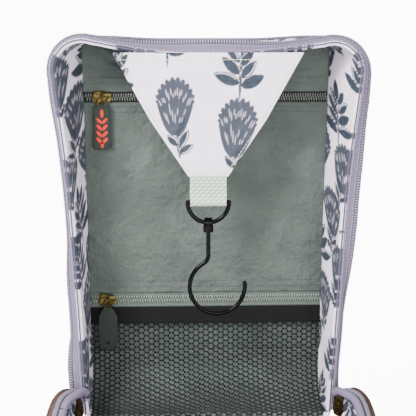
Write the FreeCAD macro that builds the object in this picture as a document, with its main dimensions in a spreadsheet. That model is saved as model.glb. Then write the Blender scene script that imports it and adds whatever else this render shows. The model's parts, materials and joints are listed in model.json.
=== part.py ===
"""Hanging toiletry bag: a clamshell wash bag, open, with its lid standing on the base's back edge.

World frame, in millimetres: +Z up, -Y to the front, the origin at the centre of the base's underside.
Each tray (base or lid) is drawn in its own tray frame: X across, Y away from the fold, and Z out of
the tray's mouth, with Z = 0 at the rim. A placement then lays the base down and stands the lid up.
"""
import FreeCAD, Part
import math
import os

import Sketcher

Vector = FreeCAD.Vector
Rotation = FreeCAD.Rotation
Placement = FreeCAD.Placement

doc = FreeCAD.newDocument("toiletry_bag")

DIMENSIONS = {
    # trays: half widths of the wall's outer face beside the fold and at the far end
    "rim_half_near": 84,
    "rim_half_far": 97,
    "panel_half_near": 83,
    "panel_half_far": 86.5,
    "rim_length": 256,
    "panel_length": 252,
    "corner_radius": 20,
    "fold_corner_radius": 8,
    "fold_gap": 1.5,
    "rim_gap": 2.6,
    "base_depth": 48,
    "lid_depth": 42,
    # laminate of every wall and panel
    "print_thick": 0.8,
    "foam_thick": 1.6,
    "lining_thick": 0.6,
    "panel_foam_thick": 2.4,
    # main zip
    "tape_width": 9,
    "tape_thick": 0.9,
    "coil_width": 2.8,
    "coil_height": 1.0,
    "base_tape_start": 27,
    "lid_tape_start": 3,
    "web_width": 150,
    "web_leg": 12,
    "web_thick": 0.9,
    # pockets on the lid's lining
    "pocket_gap": 3.0,
    "pocket_thick": 0.8,
    "pocket_side_gap": 0.4,
    "top_zip_height": 222,
    "mesh_zip_height": 80,
    "pocket_tape": 6,
    "zip_slit": 1.1,
    "pocket_coil_width": 2.0,
    "pocket_coil_height": 1.2,
    "mesh_band_height": 12,
    # hook flap
    "flap_top_half": 62,
    "flap_mid_half": 38,
    "flap_bottom_half": 16.5,
    "flap_top": 253.4,
    "flap_mid": 210,
    "flap_bottom": 172.5,
    "flap_back": 0.3,
    "flap_layer": 0.6,
    # webbing, ring, swivel and hook
    "webbing_half": 12,
    "webbing_thick": 1.0,
    "strap_gap": 0.1,
    "ring_height": 155.5,
    "ring_radius": 13.7,
    "wire": 1.4,
    "loop_clearance": 0.35,
    "eye_half": 2.6,
    "eye_radius": 3.3,
    "eye_bore": 2.15,
    "collar_radius": 3.3,
    "collar_bottom": 6.2,
    "cavity_radius": 2.4,
    "cavity_bottom": 5.0,
    "cavity_height": 1.6,
    "swivel_clearance": 0.06,
    "stem_head_radius": 2.1,
    "stem_head_height": 1.0,
    "hook_bend_height": 119.5,
    "hook_bend_radius": 6,
    "hook_radius": 18.5,
    "hook_offset": 6,
    "hook_height": 98,
    "hook_tip_height": 100.5,
    # pocket sliders and every pull
    "slider_half": 6,
    "slider_width": 8,
    "slider_plate": 1.0,
    "slider_clearance": 0.3,
    "slider_neck": 0.5,
    "slider_neck_length": 3,
    "slider_inset": 12,
    "lug_radius": 2.4,
    "lug_wire": 0.55,
    "link_radius": 3,
    "link_wire": 0.6,
    "link_lift": 0.95,
    "tag_width": 13,
    "tag_length": 31,
    "tag_thick": 2.4,
    "tag_drop": 4.8,
    "tag_radius": 4,
    # main sliders
    "main_start": 8,
    "main_length": 16,
    "main_plate": 1.2,
    "main_clearance": 0.4,
    "main_inner": 3.5,
    "main_neck": 3.6,
    "main_lug_drop": 4.4,
    # how far a cutting tool runs past the face it opens
    "tool_overrun": 3,
}

sheet = doc.addObject("Spreadsheet::Sheet", "dims")
for row, (alias, value) in enumerate(DIMENSIONS.items(), start=1):
    sheet.set(f"A{row}", alias)
    sheet.set(f"B{row}", str(value))
    sheet.setAlias(f"B{row}", alias)
doc.recompute()

nodes = []


def size(alias):
    """A driving dimension read back from the sheet."""
    return float(sheet.get(alias))


def bind(item, **expressions):
    """Tie properties of an object to sheet expressions; a double underscore stands for a dot."""
    for name, expression in expressions.items():
        item.setExpression(name.replace("__", "."), expression)
    return item


def node(item, label, placement=Placement()):
    """Register a finished piece under the name that its file takes."""
    item.Label = label
    item.Placement = placement
    nodes.append(item)
    return item


def fold_axis():
    """World height and place of the fold line, where the two rims pivot."""
    return Vector(0, size("rim_length") / 2, size("base_total") + size("rim_gap"))


row = len(DIMENSIONS) + 1
sheet.set(f"A{row}", "base_total")
sheet.set(f"B{row}", str(sum(
    size(name) for name in ("base_depth", "lining_thick", "panel_foam_thick", "print_thick"))))
sheet.setAlias(f"B{row}", "base_total")
doc.recompute()

FOLD = fold_axis()
BASE = Placement(FOLD - Vector(0, 0, size("rim_gap")), Rotation(Vector(0, 0, 1), 180))
LID = Placement(FOLD + Vector(0, size("rim_gap"), 0), Rotation(Vector(1, 0, 0), 90))


# ---------------------------------------------------------------- trays

def half_width(tray, level, along):
    """Half width of the wall's outer face at a level below the rim and a distance from the fold."""
    def between(end):
        return (f"(dims.rim_half_{end} + (dims.panel_half_{end} - dims.rim_half_{end})"
                f" * ({level}) / dims.{tray}_depth)")
    return f"({between('near')} + ({between('far')} - {between('near')}) * ({along}) / dims.rim_length)"


def far_end(tray, level):
    """Distance of the far wall's outer face from the fold, at a level below the rim."""
    return f"(dims.rim_length + (dims.panel_length - dims.rim_length) * ({level}) / dims.{tray}_depth)"


def outline(body, name, tray, level, inset, start=None, end=None, drop=None):
    """A four-sided sketch that follows the tray's walls, an inset inside their outer faces."""
    sketch = body.newObject("Sketcher::SketchObject", name)
    plane = next(item for item in body.Origin.OriginFeatures if item.Role == "XY_Plane")
    sketch.AttachmentSupport = [(plane, "")]
    sketch.MapMode = "FlatFace"
    sketch.setExpression("AttachmentOffset.Base.z", f"-({drop or level})")
    start = start or f"(dims.fold_gap + {inset})"
    end = end or f"({far_end(tray, level)} - {inset})"
    near_half = f"{half_width(tray, level, start)} - {inset}"
    far_half = f"{half_width(tray, level, end)} - {inset}"
    corners = [(1, near_half, start), (1, far_half, end), (-1, far_half, end), (-1, near_half, start)]
    # first placing only; the constraints below set the corners' true places
    near, far = size("rim_half_near"), size("rim_half_far")
    low, high = size("tool_overrun"), size("rim_length")
    rough = [Vector(far, low, 0), Vector(near, high, 0), Vector(-near, high, 0), Vector(-far, low, 0)]
    for index in range(4):
        sketch.addGeometry(Part.LineSegment(rough[index], rough[(index + 1) % 4]), False)
    for index in range(4):
        sketch.addConstraint(Sketcher.Constraint("Coincident", index, 2, (index + 1) % 4, 1))
    for index, (sign, half, place) in enumerate(corners):
        across = sketch.addConstraint(
            Sketcher.Constraint("DistanceX", -1, 1, index, 1, rough[index].x))
        sketch.setExpression(f"Constraints[{across}]", half if sign > 0 else f"-({half})")
        along = sketch.addConstraint(
            Sketcher.Constraint("DistanceY", -1, 1, index, 1, rough[index].y))
        sketch.setExpression(f"Constraints[{along}]", place)
    return sketch


def tray_block(name, tray, top, bottom, inset, start=None, end=None, far_radius=None, near_radius=None,
               widths=None):
    """A block that fills the tray between two levels, with rounded corners at its far end.

    widths gives the level whose widths both faces take, for a flat panel.
    """
    body = doc.addObject("PartDesign::Body", name)
    sections = [
        outline(body, f"{name}_{where}", tray, widths or level, inset, start, end, level)
        for where, level in (("top", top), ("bottom", bottom))
    ]
    loft = body.newObject("PartDesign::AdditiveLoft", f"{name}_loft")
    loft.Profile = sections[0]
    loft.Sections = [sections[1]]
    loft.Ruled = True
    doc.recompute()
    ends_y = [point.Y for point in loft.Shape.Vertexes]
    middle = (min(ends_y) + max(ends_y)) / 2
    for radius, is_far in ((far_radius, True), (near_radius, False)):
        if not radius:
            continue
        base = body.Tip
        edges = [
            f"Edge{number}" for number, edge in enumerate(base.Shape.Edges, start=1)
            if abs(edge.Vertexes[0].Z - edge.Vertexes[-1].Z) > 1e-3
            and (edge.CenterOfMass.y > middle) == is_far
        ]
        fillet = body.newObject("PartDesign::Fillet", f"{name}_{'far' if is_far else 'near'}_corners")
        fillet.Base = (base, edges)
        bind(fillet, Radius=radius)
        doc.recompute()
    return body


def ring_between(name, tray, top, bottom, outer, inner, start=None, widths=None, placement=None):
    """What is left of a tray block when a smaller one is taken out of it: a wall, a tape or a coil."""
    blocks = []
    for part, inset in (("outer", outer), ("inner", inner)):
        is_open_tool = start is not None and part == "inner"
        blocks.append(tray_block(
            f"{name}_{part}", tray, top, bottom, inset,
            start=f"({start} - dims.tool_overrun)" if is_open_tool else start, widths=widths,
            far_radius=f"dims.corner_radius - ({inset})",
            near_radius=None if start else f"dims.fold_corner_radius - ({inset})"))
    cut = doc.addObject("Part::Cut", name)
    cut.Base, cut.Tool = blocks
    return node(cut, name, placement)


def tray(which, placement):
    """Walls, panels and main zip half of one tray."""
    depth = f"dims.{which}_depth"
    layers = (
        ("gusset_outer", "0", "dims.print_thick"),
        ("gusset_foam", "dims.print_thick", "(dims.print_thick + dims.foam_thick)"),
        ("gusset_lining", "(dims.print_thick + dims.foam_thick)",
         "(dims.print_thick + dims.foam_thick + dims.lining_thick)"),
    )
    for layer, outer, inner in layers:
        ring_between(f"{which}_{layer}", which, "0", depth, outer, inner, placement=placement)

    top = depth
    panel = "bottom" if which == "base" else "back"
    for layer, thick in (("lining", "lining_thick"), ("foam", "panel_foam_thick"), ("outer", "print_thick")):
        bottom = f"({top} + dims.{thick})"
        body = tray_block(f"{which}_{panel}_{layer}", which, top, bottom, "0", widths=depth,
                          far_radius="dims.corner_radius", near_radius="dims.fold_corner_radius")
        node(body, f"{which}_{panel}_{layer}", placement)
        top = bottom

    start = f"dims.{which}_tape_start"
    ring_between(f"{which}_zip_tape", which, "0", "dims.tape_thick", "(-dims.tape_width)", "0",
                 start=start, widths="0", placement=placement)
    ring_between(f"{which}_zip_coil", which, "(-dims.coil_height)", "0", "(-dims.tape_width)",
                 "(dims.coil_width - dims.tape_width)", start=start, widths="0", placement=placement)


def box(name, corner, lengths):
    """A box whose corner and edge lengths are sheet expressions."""
    item = doc.addObject("Part::Box", name)
    for axis, place, length, key in zip("xyz", corner, lengths, ("Length", "Width", "Height")):
        item.setExpression(f"Placement.Base.{axis}", place)
        item.setExpression(key, length)
    return item


def fuse(name, shapes):
    item = doc.addObject("Part::MultiFuse", name)
    item.Shapes = shapes
    return item


def cut(name, base, tool):
    item = doc.addObject("Part::Cut", name)
    item.Base = base
    item.Tool = tool
    return item


def turned(item, axis, angle):
    """Turn a primitive about its own origin before an expression moves it."""
    item.Placement = Placement(Vector(), Rotation(axis, angle))
    return item


def hinge_web():
    """The cloth spine that joins the two fold walls: one leg down the base, one under the lid."""
    across = "-dims.web_width / 2"
    fold_y, fold_z = "dims.rim_length / 2", "(dims.base_total + dims.rim_gap)"
    clear = "dims.slider_clearance"
    top = f"({fold_z} + dims.fold_gap - {clear})"
    down = box("web_base_leg", (across, f"{fold_y} - dims.fold_gap", f"{top} - dims.web_leg"),
               ("dims.web_width", "dims.web_thick", "dims.web_leg"))
    back = box("web_lid_leg", (across, f"{fold_y} - dims.fold_gap", f"{top} - dims.web_thick"),
               ("dims.web_width", "dims.web_leg", "dims.web_thick"))
    node(fuse("hinge_web", [down, back]), "hinge_web")


# ---------------------------------------------------------------- pockets on the lid

POCKET_BACK = "(dims.lid_depth - dims.pocket_gap)"
POCKET_FRONT = "(dims.lid_depth - dims.pocket_gap - dims.pocket_thick)"
WALL = "(dims.print_thick + dims.foam_thick + dims.lining_thick + dims.pocket_side_gap)"


def pocket_strip(name, start, end, front=POCKET_FRONT, back=POCKET_BACK, **corners):
    """A flat strip of the pocket layer, between two heights above the fold."""
    return tray_block(name, "lid", front, back, WALL, start=start, end=end, widths=POCKET_BACK, **corners)


def zip_strips(name, height):
    """Two tapes with a slit between them, and the two coil rows that face the slit."""
    slit = "dims.zip_slit / 2"
    coil_front = f"({POCKET_FRONT} - dims.pocket_coil_height)"
    tapes, coils = [], []
    for side, sign in (("upper", "+"), ("lower", "-")):
        ends = [f"({height} {sign} {slit})", f"({height} {sign} dims.pocket_tape)"]
        coil_ends = [ends[0], f"({height} {sign} ({slit} + dims.pocket_coil_width))"]
        if sign == "-":
            ends.reverse()
            coil_ends.reverse()
        tapes.append(pocket_strip(f"{name}_tape_{side}", *ends))
        coils.append(pocket_strip(f"{name}_coil_{side}", *coil_ends, front=coil_front, back=POCKET_FRONT))
    for label, strips in ((f"{name}_tape", tapes), (f"{name}_coil", coils)):
        pair = doc.addObject("Part::Compound", label)
        pair.Links = strips
        node(pair, label, LID)


def pockets():
    top_low = "(dims.top_zip_height - dims.pocket_tape)"
    top_high = "(dims.top_zip_height + dims.pocket_tape)"
    mesh_low = "(dims.mesh_zip_height - dims.pocket_tape)"
    mesh_high = "(dims.mesh_zip_height + dims.pocket_tape)"
    band_low = f"({mesh_low} - dims.mesh_band_height)"
    header_top = f"({far_end('lid', POCKET_FRONT)} - {WALL} - dims.pocket_side_gap)"
    node(pocket_strip("pocket_header", top_high, header_top, far_radius=f"(dims.corner_radius - {WALL})"),
         "pocket_header", LID)
    zip_strips("top_zip", "dims.top_zip_height")
    node(pocket_strip("pocket_front", mesh_high, top_low), "pocket_front", LID)
    zip_strips("mesh_zip", "dims.mesh_zip_height")
    node(pocket_strip("mesh_band", band_low, mesh_low), "mesh_band", LID)
    fold_wall = f"(dims.fold_gap + {WALL})"
    node(pocket_strip("mesh_net", fold_wall, band_low, near_radius=f"(dims.fold_corner_radius - {WALL})"),
         "mesh_net", LID)


# ---------------------------------------------------------------- hook flap, ring, swivel and hook

def flap_layer(name, front):
    """One cloth layer of the flap: wide at the seam, waisted, and narrow at the webbing."""
    body = doc.addObject("PartDesign::Body", name)
    sketch = body.newObject("Sketcher::SketchObject", f"{name}_outline")
    plane = next(item for item in body.Origin.OriginFeatures if item.Role == "XY_Plane")
    sketch.AttachmentSupport = [(plane, "")]
    sketch.MapMode = "FlatFace"
    sketch.setExpression("AttachmentOffset.Base.z", front)
    levels = ("top", "mid", "bottom")
    corners = [(1, where) for where in levels] + [(-1, where) for where in reversed(levels)]
    rough = [Vector(sign * size(f"flap_{where}_half"), size(f"flap_{where}"), 0) for sign, where in corners]
    count = len(corners)
    for index in range(count):
        sketch.addGeometry(Part.LineSegment(rough[index], rough[(index + 1) % count]), False)
    for index in range(count):
        sketch.addConstraint(Sketcher.Constraint("Coincident", index, 2, (index + 1) % count, 1))
    for index, (sign, where) in enumerate(corners):
        across = sketch.addConstraint(Sketcher.Constraint("DistanceX", -1, 1, index, 1, rough[index].x))
        sketch.setExpression(f"Constraints[{across}]", f"{'' if sign > 0 else '-'}dims.flap_{where}_half")
        along = sketch.addConstraint(Sketcher.Constraint("DistanceY", -1, 1, index, 1, rough[index].y))
        sketch.setExpression(f"Constraints[{along}]", f"dims.flap_{where}")
    pad = body.newObject("PartDesign::Pad", f"{name}_pad")
    pad.Profile = sketch
    bind(pad, Length="dims.flap_layer")
    return node(body, name, LID)


FLAP_MID = "(dims.flap_back + dims.flap_layer)"
ON_CENTRE = "0 * dims.wire"
LOOP_RADIUS = "(dims.wire + dims.loop_clearance + dims.webbing_thick)"


def rod(name, radius, length, centre, along_x=False):
    """A cylinder that starts at a point and runs along Y, or is centred on it along X."""
    item = doc.addObject("Part::Cylinder", name)
    bind(item, Radius=radius, Height=length)
    turned(item, Vector(0, 1, 0) if along_x else Vector(1, 0, 0), 90 if along_x else -90)
    start_x = f"{centre[0]} - ({length}) / 2" if along_x else centre[0]
    bind(item, Placement__Base__x=start_x, Placement__Base__y=centre[1], Placement__Base__z=centre[2])
    return item


def webbing_loop():
    """A doubled strap under the flap's end, rolled round the ring's straight bar."""
    width = "2 * dims.webbing_half"
    centre = (ON_CENTRE, "dims.ring_height", FLAP_MID)
    strap = box("strap", ("-dims.webbing_half", "dims.ring_height", f"{FLAP_MID} - dims.webbing_thick"),
                (width, "dims.flap_bottom - dims.ring_height - dims.strap_gap", "2 * dims.webbing_thick"))
    roll = rod("strap_roll", LOOP_RADIUS, width, centre, along_x=True)
    bore = rod("strap_bore", "dims.wire + dims.loop_clearance", f"{width} + 2 * dims.wire", centre,
               along_x=True)
    node(cut("webbing_loop", fuse("strap_body", [strap, roll]), bore), "webbing_loop", LID)


def d_ring():
    """A half circle of wire, closed by the straight bar that lies in the webbing's roll."""
    arch = doc.addObject("Part::Torus", "ring_arch")
    bind(arch, Radius1="dims.ring_radius", Radius2="dims.wire")
    arch.Angle3 = 180
    turned(arch, Vector(0, 0, 1), 180)
    bind(arch, Placement__Base__y="dims.ring_height", Placement__Base__z=FLAP_MID)
    centre = (ON_CENTRE, "dims.ring_height", FLAP_MID)
    bar = rod("ring_bar", "dims.wire", "2 * dims.ring_radius", centre, along_x=True)
    ends = []
    for side in (1, -1):
        knuckle = doc.addObject("Part::Sphere", f"ring_corner_{'right' if side > 0 else 'left'}")
        bind(knuckle, Radius="dims.wire", Placement__Base__x=f"{side} * dims.ring_radius",
             Placement__Base__y="dims.ring_height", Placement__Base__z=FLAP_MID)
        ends.append(knuckle)
    node(fuse("d_ring", [arch, bar] + ends), "d_ring", LID)


EYE_HEIGHT = "(dims.ring_height - dims.ring_radius)"


def swivel_eye():
    """An eye round the ring's arch, over a collar with a blind chamber for the hook's head."""
    centre = (ON_CENTRE, EYE_HEIGHT, FLAP_MID)
    eye = rod("eye_barrel", "dims.eye_radius", "2 * dims.eye_half", centre, along_x=True)
    collar = rod("eye_collar", "dims.collar_radius", "dims.collar_bottom",
                 (ON_CENTRE, f"{EYE_HEIGHT} - dims.collar_bottom", FLAP_MID))
    passage = rod("eye_passage", "dims.eye_bore", "4 * dims.eye_half", centre, along_x=True)
    chamber = rod("eye_chamber", "dims.cavity_radius", "dims.cavity_height",
                  (ON_CENTRE, f"{EYE_HEIGHT} - dims.cavity_bottom", FLAP_MID))
    stem_bore = rod("eye_stem_bore", "dims.wire + dims.swivel_clearance",
                    "dims.collar_bottom + dims.tool_overrun - dims.cavity_bottom + dims.cavity_height / 2",
                    (ON_CENTRE, f"{EYE_HEIGHT} - dims.collar_bottom - dims.tool_overrun", FLAP_MID))
    tools = fuse("eye_tools", [passage, chamber, stem_bore])
    node(cut("swivel_eye", fuse("eye_body", [eye, collar]), tools), "swivel_eye", LID)


def hook():
    """A wire hook: a straight stem, a short bend to one side, and a wide open bow."""
    body = doc.addObject("PartDesign::Body", "hook_bow")
    planes = {item.Role: item for item in body.Origin.OriginFeatures}
    head_low = f"({EYE_HEIGHT} - dims.cavity_bottom + dims.slider_clearance)"
    top = size("ring_height") - size("ring_radius") - size("cavity_bottom") + size("slider_clearance")
    bend_y, bend = size("hook_bend_height"), size("hook_bend_radius")
    bow = size("hook_radius")
    bow_centre = Vector(size("hook_offset"), size("hook_height"), 0)

    path = body.newObject("Sketcher::SketchObject", "hook_path")
    path.AttachmentSupport = [(planes["XY_Plane"], "")]
    path.MapMode = "FlatFace"
    path.setExpression("AttachmentOffset.Base.z", FLAP_MID)
    bend_centre = Vector(-bend, bend_y, 0)
    away = bow_centre - bend_centre
    # the straight link is a crossed tangent of the bend's circle and the bow's circle
    turn = math.atan2(away.y, away.x) + math.acos((bend + bow) / away.Length)
    touch = Vector(math.cos(turn), math.sin(turn), 0)
    link_start = bend_centre + touch * bend
    link_end = bow_centre - touch * bow
    tip_turn = math.asin((size("hook_tip_height") - bow_centre.y) / bow)
    face = Vector(0, 0, 1)
    path.addGeometry(Part.LineSegment(Vector(0, top, 0), Vector(0, bend_y, 0)), False)
    path.addGeometry(Part.ArcOfCircle(Part.Circle(bend_centre, face, bend), turn, 0), False)
    path.addGeometry(Part.LineSegment(link_start, link_end), False)
    path.addGeometry(Part.ArcOfCircle(Part.Circle(bow_centre, face, bow), turn + math.pi,
                                      tip_turn + 2 * math.pi), False)
    rules = [
        ("Vertical", 0), ("Tangent", 0, 2, 1, 2), ("Tangent", 1, 1, 2, 1), ("Tangent", 2, 2, 3, 1),
    ]
    for rule in rules:
        path.addConstraint(Sketcher.Constraint(*rule))
    distances = [
        ("DistanceX", 0, 1, 0.0, ON_CENTRE), ("DistanceY", 0, 1, top, head_low),
        ("DistanceY", 0, 2, bend_y, "dims.hook_bend_height"),
        ("DistanceX", 3, 3, bow_centre.x, "dims.hook_offset"),
        ("DistanceY", 3, 3, bow_centre.y, "dims.hook_height"),
        ("DistanceY", 3, 2, size("hook_tip_height"), "dims.hook_tip_height"),
    ]
    for kind, line, point, value, expression in distances:
        number = path.addConstraint(Sketcher.Constraint(kind, -1, 1, line, point, value))
        path.setExpression(f"Constraints[{number}]", expression)
    for line, value, expression in ((1, bend, "dims.hook_bend_radius"), (3, bow, "dims.hook_radius")):
        number = path.addConstraint(Sketcher.Constraint("Radius", line, value))
        path.setExpression(f"Constraints[{number}]", expression)

    section = body.newObject("Sketcher::SketchObject", "hook_section")
    section.AttachmentSupport = [(planes["XZ_Plane"], "")]
    section.MapMode = "FlatFace"
    section.setExpression("AttachmentOffset.Base.z", f"-{head_low}")
    centre = Vector(0, size("flap_back") + size("flap_layer"), 0)
    section.addGeometry(Part.Circle(centre, face, size("wire")), False)
    number = section.addConstraint(Sketcher.Constraint("DistanceY", -1, 1, 0, 3, centre.y))
    section.setExpression(f"Constraints[{number}]", FLAP_MID)
    section.addConstraint(Sketcher.Constraint("PointOnObject", 0, 3, -2))
    number = section.addConstraint(Sketcher.Constraint("Radius", 0, size("wire")))
    section.setExpression(f"Constraints[{number}]", "dims.wire")
    doc.recompute()

    pipe = body.newObject("PartDesign::AdditivePipe", "hook_wire")
    pipe.Profile = section
    pipe.Spine = (path, [f"Edge{number + 1}" for number in range(4)])
    doc.recompute()

    tip = doc.addObject("Part::Sphere", "hook_tip")
    bind(tip, Radius="dims.wire",
         Placement__Base__x="dims.hook_offset + sqrt(dims.hook_radius ^ 2"
                            " - (dims.hook_tip_height - dims.hook_height) ^ 2)",
         Placement__Base__y="dims.hook_tip_height", Placement__Base__z=FLAP_MID)
    head = rod("hook_head", "dims.stem_head_radius", "dims.stem_head_height",
               (ON_CENTRE, head_low, FLAP_MID))
    node(fuse("hook_solid", [body, tip, head]), "hook", LID)


# ---------------------------------------------------------------- zip sliders and pulls

def slot_tag(name, link):
    """A flat rubber tag with rounded corners, moulded round the lower part of its link."""
    tag = box(f"{name}_block", ("-dims.tag_width / 2", "-(dims.tag_drop + dims.tag_length)",
                                "-dims.tag_thick / 2"),
              ("dims.tag_width", "dims.tag_length", "dims.tag_thick"))
    doc.recompute()
    upright = [
        number for number, edge in enumerate(tag.Shape.Edges, start=1)
        if abs(edge.BoundBox.ZLength - size("tag_thick")) < 1e-3 and edge.BoundBox.XLength < 1e-3
        and edge.BoundBox.YLength < 1e-3
    ]
    rounded = doc.addObject("Part::Fillet", f"{name}_rounded")
    rounded.Base = tag
    radius = size("tag_radius")
    rounded.Edges = [(number, radius, radius) for number in upright]
    return cut(name, rounded, link)


def pull(prefix, placement):
    """A wire link through the slider's lug, and the tag moulded on it; the link's top is the origin."""
    link = doc.addObject("Part::Torus", f"{prefix}_link_wire")
    bind(link, Radius1="dims.link_radius", Radius2="dims.link_wire",
         Placement__Base__y="-dims.link_radius")
    # the link stays whole in the tag's tool list, and its own node is a placed copy of it
    tag = slot_tag(f"{prefix}_pull_tag", link)
    copy = doc.addObject("Part::Compound", f"{prefix}_link_piece")
    copy.Links = [link]
    node(copy, f"{prefix}_pull_link", placement)
    node(tag, f"{prefix}_pull_tag", placement)


def lug(name, lift):
    """A half ring that stands across the slider's face and holds the pull's link."""
    arch = doc.addObject("Part::Torus", name)
    bind(arch, Radius1="dims.lug_radius", Radius2="dims.lug_wire")
    arch.Angle3 = 180
    arch.Placement = Placement(Vector(), Rotation(Vector(0, 1, 0), -90) * Rotation(Vector(0, 0, 1), -90))
    bind(arch, Placement__Base__z=lift)
    return arch


def pocket_slider(prefix, height):
    """Front and back plates joined through the zip's slit, with lips over the coils and a lug."""
    half, width = "dims.slider_half", "dims.slider_width"
    clear, plate = "dims.slider_clearance", "dims.slider_plate"
    drop = f"-(dims.link_lift + {plate})"
    coil = "dims.pocket_coil_height"
    back = f"({drop} - {coil} - dims.pocket_thick - 2 * {clear} - {plate})"
    front_plate = box(f"{prefix}_front_plate", (f"-{half}", f"-{width} / 2", drop),
                      (f"2 * {half}", width, plate))
    back_plate = box(f"{prefix}_back_plate", (f"-{half}", f"-{width} / 2", back),
                     (f"2 * {half}", width, plate))
    neck = box(f"{prefix}_neck", (f"{half} - dims.slider_neck_length", "-dims.slider_neck / 2", back),
               ("dims.slider_neck_length", "dims.slider_neck", f"{drop} - {back} + {plate}"))
    lips = [
        box(f"{prefix}_lip_{side}", (f"-{half}", place, f"{drop} - {coil} / 2"),
            (f"2 * {half}", f"{plate} / 2", f"{coil} / 2 + {plate}"))
        for side, place in (("upper", f"{width} / 2 - {plate} / 2"), ("lower", f"-{width} / 2"))
    ]
    body = fuse(f"{prefix}_slider", [front_plate, back_plate, neck, lug(f"{prefix}_lug", "-dims.link_lift")]
                + lips)
    wall = size("print_thick") + size("foam_thick") + size("lining_thick")
    across = size("panel_half_near") + (size("panel_half_far") - size("panel_half_near")) \
        * height / size("rim_length") - wall
    level = -(size("lid_depth") - size("pocket_gap") - size("pocket_thick") - size("pocket_coil_height")
              - size("slider_clearance") - size("slider_plate") - size("link_lift"))
    place = LID * Placement(Vector(size("slider_inset") - across, height, level), Rotation())
    node(body, f"{prefix}_slider", place)
    pull(prefix, place)
    return place.Base


def main_slider(side, sign):
    """A clasp round both main tapes: two plates joined outside the coils, with a lug for its pull."""
    plate, clear = "dims.main_plate", "dims.main_clearance"
    low = f"(-dims.tape_thick - {clear} - {plate})"
    high = f"(2 * dims.rim_gap + dims.tape_thick + {clear})"
    neck = f"(dims.tape_width + {clear})"
    plates = [
        box(f"{side}_{name}", ("dims.main_inner", "-dims.main_length / 2", level),
            (f"{neck} + dims.main_neck - dims.main_inner", "dims.main_length", plate))
        for name, level in (("back_plate", low), ("front_plate", high))
    ]
    back = box(f"{side}_clasp_neck", (neck, "-dims.main_length / 2", low),
               ("dims.main_neck", "dims.main_length", f"{high} - {low} + {plate}"))
    outer = size("tape_width") + size("main_clearance") + size("main_neck")
    arch = doc.addObject("Part::Torus", f"{side}_main_lug")
    bind(arch, Radius1="dims.lug_radius", Radius2="dims.lug_wire")
    arch.Angle3 = 180
    lug_place = Vector(outer, -size("main_lug_drop"), size("rim_gap"))
    arch.Placement = Placement(lug_place, Rotation(Vector(0, 0, 1), -90))
    clasp = fuse(f"{side}_main_slider", plates + [back, arch])

    slope = math.degrees(math.atan2(size("rim_half_far") - size("rim_half_near"), size("rim_length")))
    along = size("main_start") + size("main_length") / 2
    across = size("rim_half_near") + math.tan(math.radians(slope)) * along
    # the left clasp is the right one turned half a turn about its tape's length, so its plates swap
    if sign > 0:
        spot = LID * Placement(Vector(across, along, 0), Rotation(Vector(0, 0, 1), -slope))
    else:
        half_turn = Rotation(Vector(0, 1, 0), 180)
        spot = LID * Placement(Vector(-across, along, 2 * size("rim_gap")),
                               Rotation(Vector(0, 0, 1), slope) * half_turn)
    node(clasp, f"{side}_main_slider", spot)
    hang = spot * Placement(lug_place + Vector(size("link_lift"), 0, 0), Rotation(Vector(0, 1, 0), 90))
    pull(f"{side}_main", hang)
    return hang.Base


# ---------------------------------------------------------------- the whole bag

tray("base", BASE)
tray("lid", LID)
hinge_web()
pockets()
flap_layer("flap_lining", "dims.flap_back")
flap_layer("flap_print", FLAP_MID)
webbing_loop()
d_ring()
swivel_eye()
hook()
pivots = {
    "top": pocket_slider("top", size("top_zip_height")),
    "mesh": pocket_slider("mesh", size("mesh_zip_height")),
    "left": main_slider("left", -1),
    "right": main_slider("right", 1),
}
doc.recompute()

for item in doc.Objects:
    if "Invalid" in item.State or "Error" in item.State:
        raise RuntimeError(f"{item.Name} failed: {item.State}")
labels = [item.Label for item in nodes]
if len(set(labels)) != len(labels):
    raise RuntimeError("two pieces share a name")
os.makedirs("parts", exist_ok=True)
for item in nodes:
    if item.Shape.isNull() or not item.Shape.isValid():
        raise RuntimeError(f"{item.Label} has no valid shape")
    item.Shape.exportStep(os.path.join("parts", f"{item.Label}.step"))
    bounds = item.Shape.BoundBox
    print(f"{item.Label:24s} {len(item.Shape.Solids)} solids {item.Shape.Volume:10.1f} mm3"
          f"  x {bounds.XMin:7.1f} {bounds.XMax:7.1f}  y {bounds.YMin:7.1f} {bounds.YMax:7.1f}"
          f"  z {bounds.ZMin:7.1f} {bounds.ZMax:7.1f}")
for name, point in pivots.items():
    print("pivot", name, [round(value, 3) for value in point])
print("fold", FOLD)
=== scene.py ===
import json
import math

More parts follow.
